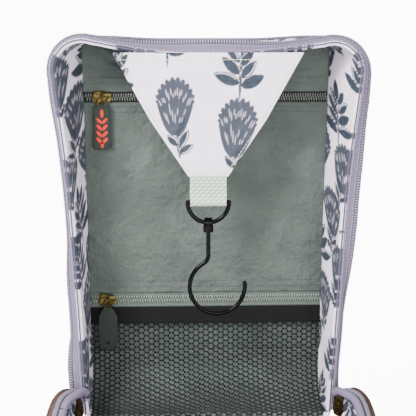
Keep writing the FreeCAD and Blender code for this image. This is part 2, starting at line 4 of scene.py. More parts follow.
import bmesh
import bpy
import numpy as np
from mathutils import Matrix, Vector


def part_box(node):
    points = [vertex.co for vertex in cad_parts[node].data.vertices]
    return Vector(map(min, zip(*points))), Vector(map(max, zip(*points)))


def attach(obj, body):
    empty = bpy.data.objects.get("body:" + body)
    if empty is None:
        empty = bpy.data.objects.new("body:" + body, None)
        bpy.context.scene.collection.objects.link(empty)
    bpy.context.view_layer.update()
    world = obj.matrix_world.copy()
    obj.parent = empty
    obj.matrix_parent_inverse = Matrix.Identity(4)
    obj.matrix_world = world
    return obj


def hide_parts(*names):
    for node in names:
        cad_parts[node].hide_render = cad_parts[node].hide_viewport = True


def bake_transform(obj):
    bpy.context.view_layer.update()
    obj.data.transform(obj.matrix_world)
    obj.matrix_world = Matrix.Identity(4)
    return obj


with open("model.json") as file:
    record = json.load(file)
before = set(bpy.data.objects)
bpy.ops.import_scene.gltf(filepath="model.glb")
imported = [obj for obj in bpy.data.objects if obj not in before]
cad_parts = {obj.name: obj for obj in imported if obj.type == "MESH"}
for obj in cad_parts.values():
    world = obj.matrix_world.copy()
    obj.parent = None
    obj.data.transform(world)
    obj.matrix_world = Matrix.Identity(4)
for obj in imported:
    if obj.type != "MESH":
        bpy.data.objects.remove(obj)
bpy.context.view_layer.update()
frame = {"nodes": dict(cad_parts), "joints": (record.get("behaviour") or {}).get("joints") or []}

# Shapes are worked out in millimetres and turned into metres when a mesh is made. A tray (lid or base)
# has its own frame: x across, s away from the fold, z out of its mouth, with z = 0 at the rim.
MM = 0.001


# ---------------------------------------------------------------- sizes read from the frame

def corner(node, which):
    return Vector(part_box(node)[which]) / MM


def joint(name):
    return next(item for item in frame["joints"] if item["name"] == name)


def vertices(node):
    mesh = frame["nodes"][node].data
    points = np.empty(len(mesh.vertices) * 3)
    mesh.vertices.foreach_get("co", points)
    return points.reshape(-1, 3) / MM


def widest(node, low=(-1e4, -1e4), high=(1e4, 1e4)):
    """Half width of a node among its vertices whose (y, z) lie between two corners."""
    points = vertices(node)
    inside = np.all((points[:, 1:] >= low) & (points[:, 1:] <= high), axis=1)
    return float(points[inside, 0].max())


FOLD = Vector(joint("lid_fold")["pos_m"]) / MM
RIM_GAP = FOLD.z - corner("base_zip_tape", 1).z
BASE_DEPTH = FOLD.z - RIM_GAP - corner("base_bottom_lining", 1).z
LID_DEPTH = corner("lid_back_lining", 0).y - FOLD.y - RIM_GAP
DEPTH = {"base": BASE_DEPTH, "lid": LID_DEPTH}
RIM_Y = FOLD.y + RIM_GAP
LAMINATE = corner("base_bottom_lining", 1).z
RIM_LENGTH = corner("lid_gusset_outer", 1).z - FOLD.z
PANEL_LENGTH = corner("lid_back_outer", 1).z - FOLD.z
SEAM = 1.3
TAPE_WIDTH = corner("lid_zip_tape", 1).z - FOLD.z - RIM_LENGTH
NEAR_HALF = {
    "rim": widest("lid_gusset_outer", (RIM_Y - 1, FOLD.z), (RIM_Y + 1, FOLD.z + 12)),
    "panel": widest("lid_back_outer", (0, FOLD.z), (1e4, FOLD.z + 12)),
}
FAR_HALF = {"rim": widest("lid_gusset_outer"), "panel": widest("lid_back_outer")}
FAR_HALF["rim"] += (FAR_HALF["rim"] - NEAR_HALF["rim"]) * 0.08
CORNER = 20.0
FOLD_CORNER = 8.0
FOLD_EDGE = corner("lid_gusset_outer", 0).z - FOLD.z
WALL_OUTER = 2.4
WALL_LINING = 0.6
WALL = WALL_OUTER + WALL_LINING
TOP_ZIP = (corner("top_zip_coil", 0).z + corner("top_zip_coil", 1).z) / 2 - FOLD.z
MESH_ZIP = (corner("mesh_zip_coil", 0).z + corner("mesh_zip_coil", 1).z) / 2 - FOLD.z
ZIP_HALF = (corner("top_zip_tape", 1).z - corner("top_zip_tape", 0).z) / 2
POCKET_Z = RIM_Y - corner("pocket_front", 0).y
BAND_LOW = corner("mesh_band", 0).z - FOLD.z
HEADER_TOP = corner("pocket_header", 1).z - FOLD.z + 8.0
FLAP_TOP = corner("flap_print", 1).z - FOLD.z
FLAP_BOTTOM = corner("flap_print", 0).z - FOLD.z
FLAP_FRONT = RIM_Y - corner("flap_print", 0).y
FLAP_BACK = RIM_Y - corner("flap_lining", 1).y
RING_BAR = Vector(joint("ring_swing")["pos_m"]) / MM
WEBBING_HALF = corner("webbing_loop", 1).x


def to_world(tray, x, s, z):
    """Tray coordinates to world coordinates, all in millimetres."""
    x, s, z = np.broadcast_arrays(x, s, z)
    if tray == "lid":
        return np.stack([x, RIM_Y - z, FOLD.z + s], axis=-1)
    return np.stack([x, FOLD.y - s, FOLD.z - RIM_GAP + z], axis=-1)


# ---------------------------------------------------------------- smooth noise and paths

def noise(u, v, scale, seed):
    """Smooth value noise between -1 and 1, with features about one scale across."""
    table = np.random.default_rng(seed).uniform(-1, 1, (64, 64))
    u, v = np.asarray(u) / scale, np.asarray(v) / scale
    i, j = np.floor(u).astype(int), np.floor(v).astype(int)
    a, b = u - i, v - j
    a, b = a * a * (3 - 2 * a), b * b * (3 - 2 * b)
    i, j, i1, j1 = i % 64, j % 64, (i + 1) % 64, (j + 1) % 64
    low = table[i, j] * (1 - a) + table[i1, j] * a
    high = table[i, j1] * (1 - a) + table[i1, j1] * a
    return low * (1 - b) + high * b


def smooth(value, low, high):
    t = np.clip((np.asarray(value) - low) / (high - low), 0, 1)
    return t * t * (3 - 2 * t)


def run_along(path):
    """Distance run along a path at each of its points, from 0."""
    return np.concatenate([[0], np.cumsum(np.linalg.norm(np.diff(path, axis=0), axis=1))])


# the soft lid's panel reaches a little past its rim, and its corners are tighter there
PANEL_EXTRA = {"base": 0.0, "lid": 8.5}
PANEL_CORNER = {"base": 14.0, "lid": 7.0}


def corner_rise(tray, x, s):
    """How far the soft lid's back is drawn up toward the rim at its two far corners."""
    if tray == "base":
        return 0.0 * x
    return 1.8 * smooth(np.abs(x), 30, 72) * smooth(s, PANEL_LENGTH - 25, PANEL_LENGTH + 6)


class Outline:
    """The closed outline of a tray's wall: up the left side, over the far end and down the right."""

    def __init__(self, tray):
        self.tray = tray
        near, far = NEAR_HALF["rim"], FAR_HALF["rim"]
        self.side = math.hypot(RIM_LENGTH - CORNER, far - near)
        self.arc = math.pi / 2 * CORNER
        self.top = 2 * (far - CORNER)
        self.near_arc = math.pi / 2 * FOLD_CORNER
        self.bottom = 2 * (near - FOLD_CORNER)
        self.open_length = 2 * self.side + 2 * self.arc + self.top
        self.length = self.open_length + 2 * self.near_arc + self.bottom

    def point(self, u, level, depth, inset):
        """x, s and the outward direction at a distance u along the outline, a level below the rim."""
        k = level / depth
        near = NEAR_HALF["rim"] + (NEAR_HALF["panel"] - NEAR_HALF["rim"]) * k - inset
        far = FAR_HALF["rim"] + (FAR_HALF["panel"] - FAR_HALF["rim"]) * k - inset
        end = RIM_LENGTH + (PANEL_LENGTH + PANEL_EXTRA[self.tray] - RIM_LENGTH) * k - inset
        low = FOLD_EDGE + inset
        r = np.maximum(CORNER + (PANEL_CORNER[self.tray] - CORNER) * k - inset, 0.5)
        q = np.maximum(FOLD_CORNER - inset, 0.5)
        u = np.mod(np.asarray(u, float), self.length)
        total = self.open_length
        mirrored = (u > total / 2) & (u <= total)
        v = np.where(mirrored, total - u, u)
        t_side = np.clip(v / self.side, 0, 1)
        t_arc = np.clip((v - self.side) / self.arc, 0, 1)
        t_top = np.clip((v - self.side - self.arc) / (self.top / 2), 0, 1)
        slope = np.arctan2(far - near, end - low)
        side_x = near + (far - near) * t_side * (end - r - low) / (end - low)
        side_s = low + q + (end - r - low - q) * t_side
        side_x = np.where(t_side < 1, side_x, far - (far - near) * r / (end - low))
        start_x = far - (far - near) * r / (end - low)
        arc_x = start_x - r * (1 - np.cos(t_arc * math.pi / 2))
        arc_s = (end - r) + r * np.sin(t_arc * math.pi / 2)
        top_x = (start_x - r) * (1 - t_top)
        on_side, on_arc = v < self.side, v < self.side + self.arc
        x = np.where(on_side, side_x, np.where(on_arc, arc_x, top_x))
        s = np.where(on_side, side_s, np.where(on_arc, arc_s, end))
        angle = np.where(on_side, 0.0, np.where(on_arc, t_arc * math.pi / 2, math.pi / 2))
        x = np.where(mirrored, x, -x)
        out_x = np.cos(angle) * np.where(mirrored, 1, -1)
        out_s = np.sin(angle)
        # the fold side closes the outline
        w = u - total
        closing = w > 0
        right = w < self.near_arc
        left = w > self.near_arc + self.bottom
        t = np.where(right, w / self.near_arc, np.where(left, (self.length - u) / self.near_arc, 1))
        t = np.clip(t, 0, 1) * math.pi / 2
        centre = near - q
        across = np.where(right, 1, np.where(left, -1, 0)) * (centre + q * np.cos(t))
        run = centre * (1 - 2 * np.clip((w - self.near_arc) / self.bottom, 0, 1))
        across = np.where(right | left, across, run)
        x = np.where(closing, across, x)
        s = np.where(closing, low + q * (1 - np.sin(t)), s)
        out_x = np.where(closing, np.cos(t) * np.sign(across) * (right | left), out_x)
        out_s = np.where(closing, -np.sin(t), out_s)
        s = s + k * corner_rise(self.tray, x, s)
        if self.tray == "lid":
            top = self.near_corner(v, 40)
            rise = np.where(mirrored, SWELL_TOP["right"], SWELL_TOP["left"])
            swell = (1 - k) * (SWELL_SIDE * self.near_corner(v, 62) * np.abs(out_x)
                               + (rise * top - SAG_TOP * (1 - top)) * np.abs(out_s)) * ~closing
            x, s = x + out_x * swell, s + out_s * swell
        return x, s, out_x, out_s

    def near_corner(self, v, reach):
        """1 at a far corner, falling to 0 away from it."""
        return np.exp(-((v - self.side - self.arc / 2) / reach) ** 2)


# how far the open lid's rim springs outward and upward at its far corners, and sags between them
SWELL_SIDE = 5.5
SWELL_TOP = {"left": 7.0, "right": 5.0}
SAG_TOP = 2.6
OUTLINES = {"base": Outline("base"), "lid": Outline("lid")}
OUTLINE = OUTLINES["base"]


def row_half(s, inset=0.0, level_share=1.0, rounded_near=True, tray="lid"):
    """Half width of the tray's rounded outline at a distance s from the fold."""
    def mixed(half):
        return half["rim"] + (half["panel"] - half["rim"]) * level_share
    end = RIM_LENGTH + (PANEL_LENGTH + PANEL_EXTRA[tray] - RIM_LENGTH) * level_share - inset
    low = FOLD_EDGE + inset
    near, far = mixed(NEAR_HALF) - inset, mixed(FAR_HALF) - inset
    half = near + (far - near) * (np.asarray(s) - low) / (end - low)
    r = max(CORNER + (PANEL_CORNER[tray] - CORNER) * level_share - inset, 1)
    q = max(FOLD_CORNER - inset, 1)
    over = np.clip(s - (end - r), 0, r)
    half = half - r + np.sqrt(np.maximum(r * r - over * over, 0))
    if rounded_near:
        under = np.clip(low + q - s, 0, q)
        half = half - q + np.sqrt(np.maximum(q * q - under * under, 0))
    return half


# ---------------------------------------------------------------- colours and materials

def wave_scale(pitch):
    """Scale of a wave texture that repeats every pitch; at scale 1 it repeats about every 2 pi / 20 units."""
    return 2 * math.pi / 20 / pitch


def srgb(*colour):
    linear = [c / 12.92 if c <= 0.04045 else ((c + 0.055) / 1.055) ** 2.4 for c in colour]
    return (*linear, 1.0)


class Finish:
    """A node material under construction: its shader, and short ways to add and join nodes."""

    def __init__(self, name, rough=0.6, metallic=0.0, sheen=0.0, specular=0.5):
        self.material = bpy.data.materials.new(name)
        self.material.use_nodes = True
        self.tree = self.material.node_tree
        self.shader = self.tree.nodes["Principled BSDF"]
        self.shader.inputs["Roughness"].default_value = rough
        self.shader.inputs["Metallic"].default_value = metallic
        self.shader.inputs["Sheen Weight"].default_value = sheen
        self.shader.inputs["Sheen Roughness"].default_value = 0.4
        self.shader.inputs["Specular IOR Level"].default_value = specular

    def add(self, kind, **settings):
        item = self.tree.nodes.new(kind)
        for key, value in settings.items():
            setattr(item, key, value)
        return item

    def join(self, output, target):
        self.tree.links.new(output, target)

    def place(self, scale=1.0):
        """Object coordinates, in metres, times a scale."""
        coordinates = self.add("ShaderNodeTexCoord")
        mapping = self.add("ShaderNodeMapping")
        mapping.inputs["Scale"].default_value = (scale, scale, scale)
        self.join(coordinates.outputs["Object"], mapping.inputs["Vector"])
        return mapping.outputs["Vector"]

    def cloth(self, name="cloth"):
        """Coordinates that run with the cloth, in millimetres."""
        attribute = self.add("ShaderNodeAttribute", attribute_name=name)
        return attribute.outputs["Vector"]

    def noise(self, vector, scale, detail=3.0, rough=0.55):
        node = self.add("ShaderNodeTexNoise")
        node.inputs["Scale"].default_value = scale
        node.inputs["Detail"].default_value = detail
        node.inputs["Roughness"].default_value = rough
        self.join(vector, node.inputs["Vector"])
        return node.outputs["Fac"]

    def wave(self, vector, scale, direction="X", distortion=0.0):
        node = self.add("ShaderNodeTexWave", wave_type="BANDS", bands_direction=direction)
        node.inputs["Scale"].default_value = scale
        node.inputs["Distortion"].default_value = distortion
        node.inputs["Detail"].default_value = 1.0
        self.join(vector, node.inputs["Vector"])
        return node.outputs["Fac"]

    def math(self, operation, a, b=None):
        node = self.add("ShaderNodeMath", operation=operation)
        for index, value in enumerate((a, b)):
            if value is None:
                continue
            if isinstance(value, (int, float)):
                node.inputs[index].default_value = value
            else:
                self.join(value, node.inputs[index])
        return node.outputs["Value"]

    def ramp(self, factor, stops):
        node = self.add("ShaderNodeValToRGB")
        while len(node.color_ramp.elements) < len(stops):
            node.color_ramp.elements.new(0.5)
        for element, (position, colour) in zip(node.color_ramp.elements, stops):
            element.position = position
            element.color = colour
        self.join(factor, node.inputs["Fac"])
        return node.outputs["Color"]

    def mix(self, factor, a, b, blend="MIX"):
        node = self.add("ShaderNodeMix", data_type="RGBA", blend_type=blend)
        for socket, value in (("Factor", factor), ("A", a), ("B", b)):
            target = next(item for item in node.inputs if item.name == socket and item.enabled)
            if isinstance(value, (tuple, float, int)):
                target.default_value = value
            else:
                self.join(value, target)
        return next(item for item in node.outputs if item.enabled)

    def colour(self, value):
        self.join(value, self.shader.inputs["Base Color"])

    def rough(self, factor, low, high):
        node = self.add("ShaderNodeMapRange")
        node.inputs["To Min"].default_value = low
        node.inputs["To Max"].default_value = high
        self.join(factor, node.inputs["Value"])
        self.join(node.outputs["Result"], self.shader.inputs["Roughness"])

    def bump(self, *layers):
        """Each layer is a height and how deep it is, in metres."""
        normal = None
        for height, distance in layers:
            node = self.add("ShaderNodeBump")
            node.inputs["Strength"].default_value = 1.0
            node.inputs["Distance"].default_value = distance
            self.join(height, node.inputs["Height"])
            if normal is not None:
                self.join(normal, node.inputs["Normal"])
            normal = node.outputs["Normal"]
        self.join(normal, self.shader.inputs["Normal"])

    def weave(self, pitch, vector=None):
        """Height of a plain weave with the given thread pitch in millimetres."""
        vector = vector or self.cloth()
        scale = wave_scale(pitch)
        warp = self.wave(vector, scale, "X")
        weft = self.wave(vector, scale, "Y")
        return self.math("MULTIPLY", warp, weft)


def print_cloth():
    """Pale lilac polyester with a grey-blue brushed flower print."""
    f = Finish("print_cloth", rough=0.7, sheen=0.04, specular=0.18)
    cloth = f.cloth()
    ink = f.add("ShaderNodeAttribute", attribute_name="ink").outputs["Fac"]
    wash = f.noise(cloth, 0.16, 4.0)
    strokes = f.noise(cloth, 0.75, 2.0)
    tone = f.ramp(f.math("ADD", f.math("MULTIPLY", wash, 0.6), f.math("MULTIPLY", strokes, 0.4)),
                  [(0.32, srgb(0.13, 0.155, 0.195)), (0.55, srgb(0.18, 0.21, 0.255)),
                   (0.80, srgb(0.25, 0.285, 0.33))])
    ground = f.ramp(f.noise(cloth, 0.05, 3.0),
                    [(0.3, srgb(0.90, 0.85, 0.92)), (0.7, srgb(0.95, 0.91, 0.965))])
    f.colour(f.mix(ink, ground, tone))
    weave = f.weave(0.55)
    f.bump((weave, 0.00006), (f.noise(cloth, 0.09, 3.0), 0.0006))
    f.rough(weave, 0.55, 0.72)
    return f.material


def lining_cloth():
    """Grey-green nylon taffeta with a faint tone-on-tone sprig and soft creases."""
    f = Finish("lining_cloth", rough=0.6, sheen=0.03, specular=0.22)
    cloth = f.cloth()
    ink = f.add("ShaderNodeAttribute", attribute_name="ink").outputs["Fac"]
    ground = f.ramp(f.noise(cloth, 0.03, 4.0),
                    [(0.3, srgb(0.245, 0.275, 0.26)), (0.7, srgb(0.31, 0.34, 0.32))])
    f.colour(f.mix(f.math("MULTIPLY", ink, 0.05), ground, srgb(0.62, 0.67, 0.64)))
    weave = f.weave(0.45)
    f.bump((weave, 0.00005), (f.noise(cloth, 0.05, 6.0, 0.62), 0.0038),
           (f.noise(cloth, 0.2, 3.0), 0.0006))
    f.rough(f.noise(cloth, 0.3), 0.5, 0.66)
    return f.material


def tape_cloth(name, dark, light):
    """Woven zip tape: a herringbone rib that runs along the tape. Its colour is darker where the rib is low,
    which is painted shade in the rib's grooves, and also varies at random with a noise.
    """
    f = Finish(name, rough=0.75, sheen=0.04, specular=0.18)
    cloth = f.cloth()
    rib = f.wave(cloth, wave_scale(0.8), "DIAGONAL")
    # darker where the rib is low: painted shade in the grooves
    f.colour(f.mix(f.math("MULTIPLY", f.noise(cloth, 0.2), rib), dark, light))
    f.bump((rib, 0.00012), (f.noise(cloth, 0.3), 0.0002))
    f.rough(rib, 0.6, 0.8)
    return f.material


def plastic_coil(name, dark, light, rough, metallic=0.0):
    f = Finish(name, rough=rough, metallic=metallic)
    spot = f.place(900)
    grain = f.noise(spot, 1.0, 3.0)
    f.colour(f.mix(grain, dark, light))
    f.rough(grain, rough - 0.08, rough + 0.12)
    f.bump((grain, 0.00004))
    return f.material


def brass(name, hollow, middle, rubbed_tone):
    """Antique brass: dark in the hollows, brighter where it is rubbed."""
    f = Finish(name, rough=0.32, metallic=1.0)
    spot = f.place(1.0)
    patina = f.noise(spot, 380, 4.0)
    rubbed = f.noise(spot, 1500, 2.0)
    f.colour(f.ramp(f.math("ADD", f.math("MULTIPLY", patina, 0.75), f.math("MULTIPLY", rubbed, 0.25)),
                    [(0.3, hollow), (0.5, middle), (0.72, rubbed_tone)]))
    f.rough(patina, 0.22, 0.5)
    f.bump((rubbed, 0.00003))
    return f.material


def black_enamel():
    """Gloss black enamel over steel wire, with a faint orange peel."""
    f = Finish("black_enamel", rough=0.12, specular=0.08)
    spot = f.place(1.0)
    peel = f.noise(spot, 700, 2.0)
    f.colour(f.ramp(peel, [(0.3, srgb(0.008, 0.008, 0.009)), (0.7, srgb(0.025, 0.025, 0.026))]))
    f.rough(peel, 0.08, 0.16)
    f.bump((peel, 0.00005))
    return f.material


def tag_rubber(name="tag_rubber", dark=(0.08, 0.105, 0.09), light=(0.12, 0.15, 0.13)):
    """Soft moulded rubber with a fine matte grain."""
    f = Finish(name, rough=0.55, specular=0.25)
    spot = f.place(1.0)
    grain = f.noise(spot, 2600, 2.0)
    f.colour(f.ramp(f.noise(spot, 160, 3.0), [(0.3, srgb(*dark)), (0.7, srgb(*light))]))
    f.rough(grain, 0.45, 0.66)
    f.bump((grain, 0.00006))
    return f.material


def webbing_cloth():
    """Pale mint webbing with bold cross ribs. Its colour follows the weave's height: painted shade in the
    hollows and painted light on the raised ribs.
    """
    f = Finish("webbing_cloth", rough=0.85, sheen=0.03, specular=0.15)
    cloth = f.cloth()
    across = f.wave(cloth, wave_scale(2.2), "Y", 0.3)
    along = f.wave(cloth, wave_scale(1.8), "DIAGONAL", 0.3)
    basket = f.math("MULTIPLY", across, along)
    # colour from the weave's height: painted shade in the hollows, painted light on the ribs
    f.colour(f.ramp(basket, [(0.0, srgb(0.58, 0.63, 0.57)), (0.45, srgb(0.80, 0.84, 0.78)),
                             (1.0, srgb(0.93, 0.95, 0.91))]))
    f.bump((basket, 0.0004), (f.noise(cloth, 2.0), 0.0001))
    return f.material


def black_textile(name, pitch, tone=0.12):
    """Black knit or rib. Its colour follows the rib's height: painted shade in the grooves and painted light
    on the ridges.
    """
    f = Finish(name, rough=0.85, sheen=0.03, specular=0.12)
    cloth = f.cloth()
    rib = f.wave(cloth, wave_scale(pitch), "Y", 0.2)
    # darker in the rib's grooves and lighter on its ridges: painted shade and light
    f.colour(f.mix(rib, srgb(tone * 0.6, tone * 0.6, tone * 0.62), srgb(tone * 1.6, tone * 1.6, tone * 1.65)))
    f.bump((rib, 0.0002), (f.noise(cloth, 2.5), 0.0001))
    return f.material


def thread(name, tone):
    """Twisted sewing thread. Its colour is darker in the twist's grooves: painted shade."""
    f = Finish(name, rough=0.6, sheen=0.3)
    spot = f.place(1.0)
    twist = f.wave(spot, 900, "DIAGONAL")
    # darker in the twist's grooves: painted shade
    f.colour(f.mix(twist, tuple(c * 0.8 for c in tone[:3]) + (1.0,), tone))
    f.bump((twist, 0.00005))
    return f.material


MATERIALS = {
    "print": print_cloth(),
    "lining": lining_cloth(),
    "tape": tape_cloth("main_tape_cloth", srgb(0.39, 0.355, 0.44), srgb(0.52, 0.48, 0.58)),
    # a darker copy of the main tape: painted shade, for the strips under the teeth and at the seam
    "shaded_tape": tape_cloth("shaded_tape_cloth", srgb(0.30, 0.27, 0.34), srgb(0.40, 0.37, 0.46)),
    "coil": plastic_coil("main_coil_nylon", srgb(0.44, 0.41, 0.49), srgb(0.60, 0.57, 0.65), 0.42),
    "top_tape": tape_cloth("top_tape_cloth", srgb(0.07, 0.085, 0.08), srgb(0.14, 0.16, 0.15)),
    "mesh_tape": tape_cloth("mesh_tape_cloth", srgb(0.29, 0.32, 0.30), srgb(0.40, 0.44, 0.41)),
    "top_coil": plastic_coil("top_coil_nylon", srgb(0.22, 0.23, 0.21), srgb(0.60, 0.62, 0.58), 0.28, 0.7),
    "mesh_coil": plastic_coil("mesh_coil_nylon", srgb(0.24, 0.27, 0.25), srgb(0.66, 0.70, 0.66), 0.3, 0.3),
    "brass": brass("antique_brass", srgb(0.13, 0.11, 0.05), srgb(0.28, 0.24, 0.13), srgb(0.54, 0.485, 0.30)),
    # the main clasps take a darker copy of the antique brass: painted shade
    "clasp": brass("brass_painted_shade", srgb(0.09, 0.075, 0.04), srgb(0.19, 0.16, 0.09), srgb(0.36, 0.31, 0.19)),
    "enamel": black_enamel(),
    "rubber": tag_rubber(),
    "leather": tag_rubber("brown_binding", (0.15, 0.10, 0.07), (0.27, 0.19, 0.13)),
    "orange": tag_rubber("tag_accent", (0.74, 0.13, 0.02), (0.80, 0.17, 0.04)),
    "webbing": webbing_cloth(),
    "band": black_textile("black_binding", 1.1, 0.06),
    "net": black_textile("black_net_yarn", 0.5, 0.06),
    "white_thread": thread("white_thread", srgb(0.86, 0.83, 0.72)),
    "lilac_thread": thread("lilac_thread", srgb(0.62, 0.59, 0.67)),
    "dark_thread": thread("dark_thread", srgb(0.13, 0.15, 0.14)),
}


# ---------------------------------------------------------------- making pieces

def linked(name, data):
    item = bpy.data.objects.new(name, data)
    bpy.context.scene.collection.objects.link(item)
    return item


def finish_piece(item, body, slot, *nodes):
    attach(item, body)
    if nodes:
        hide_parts(*nodes)
    return item


def mesh_piece(name, points, faces, material, smooth_faces=True, **values):
    """A mesh from world points in millimetres. Values become point attributes."""
    mesh = bpy.data.meshes.new(name)
    mesh.from_pydata((np.asarray(points) * MM).tolist(), [], [list(face) for face in faces])
    mesh.update()
    for key, value in values.items():
        value = np.asarray(value, dtype=float)
        if value.ndim == 1:
            layer = mesh.attributes.new(key, "FLOAT", "POINT")
            layer.data.foreach_set("value", value)
        else:
            layer = mesh.attributes.new(key, "FLOAT_VECTOR", "POINT")
            layer.data.foreach_set("vector", value.ravel())
    mesh.polygons.foreach_set("use_smooth", [smooth_faces] * len(mesh.polygons))
    mesh.materials.append(MATERIALS[material])
    return linked(name, mesh)


def outward(item):
    """Turn every face of a closed mesh outward."""
    shape = bmesh.new()
    shape.from_mesh(item.data)
    bmesh.ops.recalc_face_normals(shape, faces=shape.faces)
    shape.to_mesh(item.data)
    shape.free()
    return item


def slab(name, material, point, us, vs, front, back, wrap=False, ink=None):
    """A closed sheet. point(u, v, h) gives world places; front and back are its two heights h."""
    u, v = np.meshgrid(us, vs, indexing="ij")
    rows, columns = u.shape
    count = rows * columns
    places = np.concatenate([point(u, v, h).reshape(-1, 3) for h in (front, back)])
    index = np.arange(count).reshape(rows, columns)
    if wrap:
        index = np.vstack([index, index[:1]])
    a, b, c, d = index[:-1, :-1], index[1:, :-1], index[1:, 1:], index[:-1, 1:]
    top = np.stack([a, b, c, d], axis=-1).reshape(-1, 4)
    faces = [top, top[:, ::-1] + count]
    edges = [(index[:, 0], True), (index[:, -1], False)]
    if not wrap:
        edges += [(index[0, :], False), (index[-1, :], True)]
    for line, forward in edges:
        first, second = line[:-1], line[1:]
        if not forward:
            first, second = second, first
        faces.append(np.stack([second, first, first + count, second + count], axis=-1))
    cloth = np.stack([u, v, np.zeros_like(u)], axis=-1).reshape(-1, 3)
    values = {"cloth": np.concatenate([cloth, cloth])}
    if ink is not None:
        marks = ink(u, v).ravel()
        values["ink"] = np.concatenate([marks, marks])
    return outward(mesh_piece(name, places, np.concatenate(faces).tolist(), material, **values))


def stamp(name, material, template, frames, smooth_faces=True):
    """Copies of a small template: (points, faces), each put in place by a 3 x 4 matrix."""
    points, faces = template
    frames = np.asarray(frames)
    points = np.asarray(points, float)
    places = np.einsum("nij,pj->npi", frames[:, :, :3], points) + frames[:, None, :, 3]
    count = len(points)
    all_faces = [[corner + k * count for corner in face] for k in range(len(frames)) for face in faces]
    return mesh_piece(name, places.reshape(-1, 3), all_faces, material, smooth_faces)


def joined_rings(rings, sides):
    """Faces that join rings of points one after another, with a cap at each end."""
    faces = []
    for i in range(rings - 1):
        for k in range(sides):
            n = (k + 1) % sides
            faces.append((i * sides + k, i * sides + n, (i + 1) * sides + n, (i + 1) * sides + k))
    return faces + [tuple(range(sides))[::-1], tuple((rings - 1) * sides + k for k in range(sides))]


def capsule(length, width, height, sides=6):
    """A short rounded bar along its own x, closed at both ends."""
    stations = ((-0.5, 0.35), (-0.36, 0.9), (0.0, 1.0), (0.36, 0.9), (0.5, 0.35))
    points = []
    for along, girth in stations:
        for k in range(sides):
            angle = 2 * math.pi * k / sides
            points.append((along * length, girth * width / 2 * math.cos(angle),
                           girth * height / 2 * math.sin(angle)))
    return points, joined_rings(len(stations), sides)


def places_at(spots, run, path):
    """Places on a path at distances run from its start."""
    return np.stack([np.interp(spots, run, column) for column in path.T], axis=-1)


def frames_along(path, normals, pitch, share=0.5):
    """Frames spaced evenly along a path, x along it and z along the given normals."""
    run = run_along(path)
    count = max(int(run[-1] / pitch), 1)
    spots = (np.arange(count) + share) * run[-1] / count
    centre = places_at(spots, run, path)
    step = 0.3
    x = places_at(spots + step, run, path) - places_at(spots - step, run, path)
    x /= np.linalg.norm(x, axis=1, keepdims=True)
    z = places_at(spots, run, normals)
    y = np.cross(z, x)
    y /= np.linalg.norm(y, axis=1, keepdims=True)
    z = np.cross(x, y)
    return np.stack([x, y, z, centre], axis=-1)


def path_on(point, us, vs, height):
    """A path on a cloth, and the cloth's outward direction along it."""
    us, vs = np.broadcast_arrays(np.asarray(us, float), np.asarray(vs, float))
    path = point(us, vs, height)
    normals = point(us, vs, height + 1.0) - path
    return path, normals / np.linalg.norm(normals, axis=-1, keepdims=True)


STITCH = capsule(2.3, 0.42, 0.36)


def stitch_rows(name, material, rows, body, slot, pitch=2.9):
    """Rows of sewing stitches; each row is a path and its normals."""
    frames = np.concatenate([frames_along(path, normals, pitch) for path, normals in rows])
    return finish_piece(stamp(name, material, STITCH, frames), body, slot)


# ---------------------------------------------------------------- the flower print

def leaf_shape(a, b, base, angle, length, width):
    """Signed distance outside one long leaf, with its half width there and its place from base to tip."""
    cos, sin = math.cos(angle), math.sin(angle)
    along = ((a - base[0]) * sin + (b - base[1]) * cos) / length
    across = (a - base[0]) * cos - (b - base[1]) * sin
    t = np.clip(along, 0, 1)
    half = width * 0.5 * np.sin(math.pi * t ** 0.85) ** 0.7
    outside = np.maximum(np.abs(across) - half, np.maximum(-along, along - 1) * length)
    return outside, across, half, t


def leaf_mark(ink, a, b, base, angle, length, width, tone=1.0, vein=0.0):
    """Paint one brushed leaf inside a thin bare slit; vein sets a bare line that far inside its edge."""
    outside, across, half, t = leaf_shape(a, b, base, angle, length, width)
    ink *= smooth(outside, 0, 0.5)
    shade = tone * (1 - smooth(outside, -0.25, 0.25))
    if vein:
        line = np.exp(-((across - half + vein) / 0.34) ** 2) * smooth(half, 0.8, 1.6) * smooth(t, 0.1, 0.25)
        shade *= 1 - 0.95 * line
    np.maximum(ink, shade, out=ink)


def protea(ink, a, b):
    """An egg-shaped flower head with a blunt fringe and scratched petals, on a stem with leaves."""
    leaf_mark(ink, a, b, (3.4, -36), -0.14, 22, 3.0)
    leaves = ((2.4, -29, 0.5, 15), (1.6, -21, 0.42, 17), (2.8, -33, 0.95, 12), (2.2, -27, -0.8, 11))
    for x, y, turn, size in leaves:
        leaf_mark(ink, a, b, (x, y), turn, size, 5.8, vein=1.1)
    phi = np.arctan2(a, b - 2)
    teeth = np.abs(np.sin(phi * 12.5 + 0.5 * np.sin(3 * phi))) ** 0.7
    fringe = 2.3 * teeth * smooth(-np.abs(phi), -1.7, -1.2)
    dome = np.hypot(a / 12.6, (b - 2) / 17.0) - 1
    dome = dome * 13.5 - fringe
    taper = np.abs(a) - 12.9 * np.clip((b + 20) / 22, 0, 1) ** 0.42
    taper = np.maximum(taper, -20 - b)
    outside = np.where(b > 2, dome, taper)
    np.maximum(ink, 0.98 * (1 - smooth(outside, -0.3, 0.3)), out=ink)
    for k in range(15):
        fan = (k - 7) / 7
        low = 8 - 7 * fan * fan + 1.8 * math.sin(9 * k)
        bare_leaf(ink, a, b, (9.6 * fan, low), 0.42 * fan, 5.0 + 1.5 * math.sin(5 * k), 0.72)
    for k in range(9):
        fan = (k - 4) / 4
        low = -9 + 3.5 * math.sin(4.1 * k)
        bare_leaf(ink, a, b, (5.8 * fan, low), 0.36 * fan, 6.5 + 2.5 * math.sin(7 * k), 0.6)


def bare_leaf(ink, a, b, base, angle, length, width):
    """A brush scratch that leaves the ground bare."""
    outside = leaf_shape(a, b, base, angle, length, width)[0]
    ink *= 0.5 + 0.5 * smooth(outside, -0.2, 0.25)


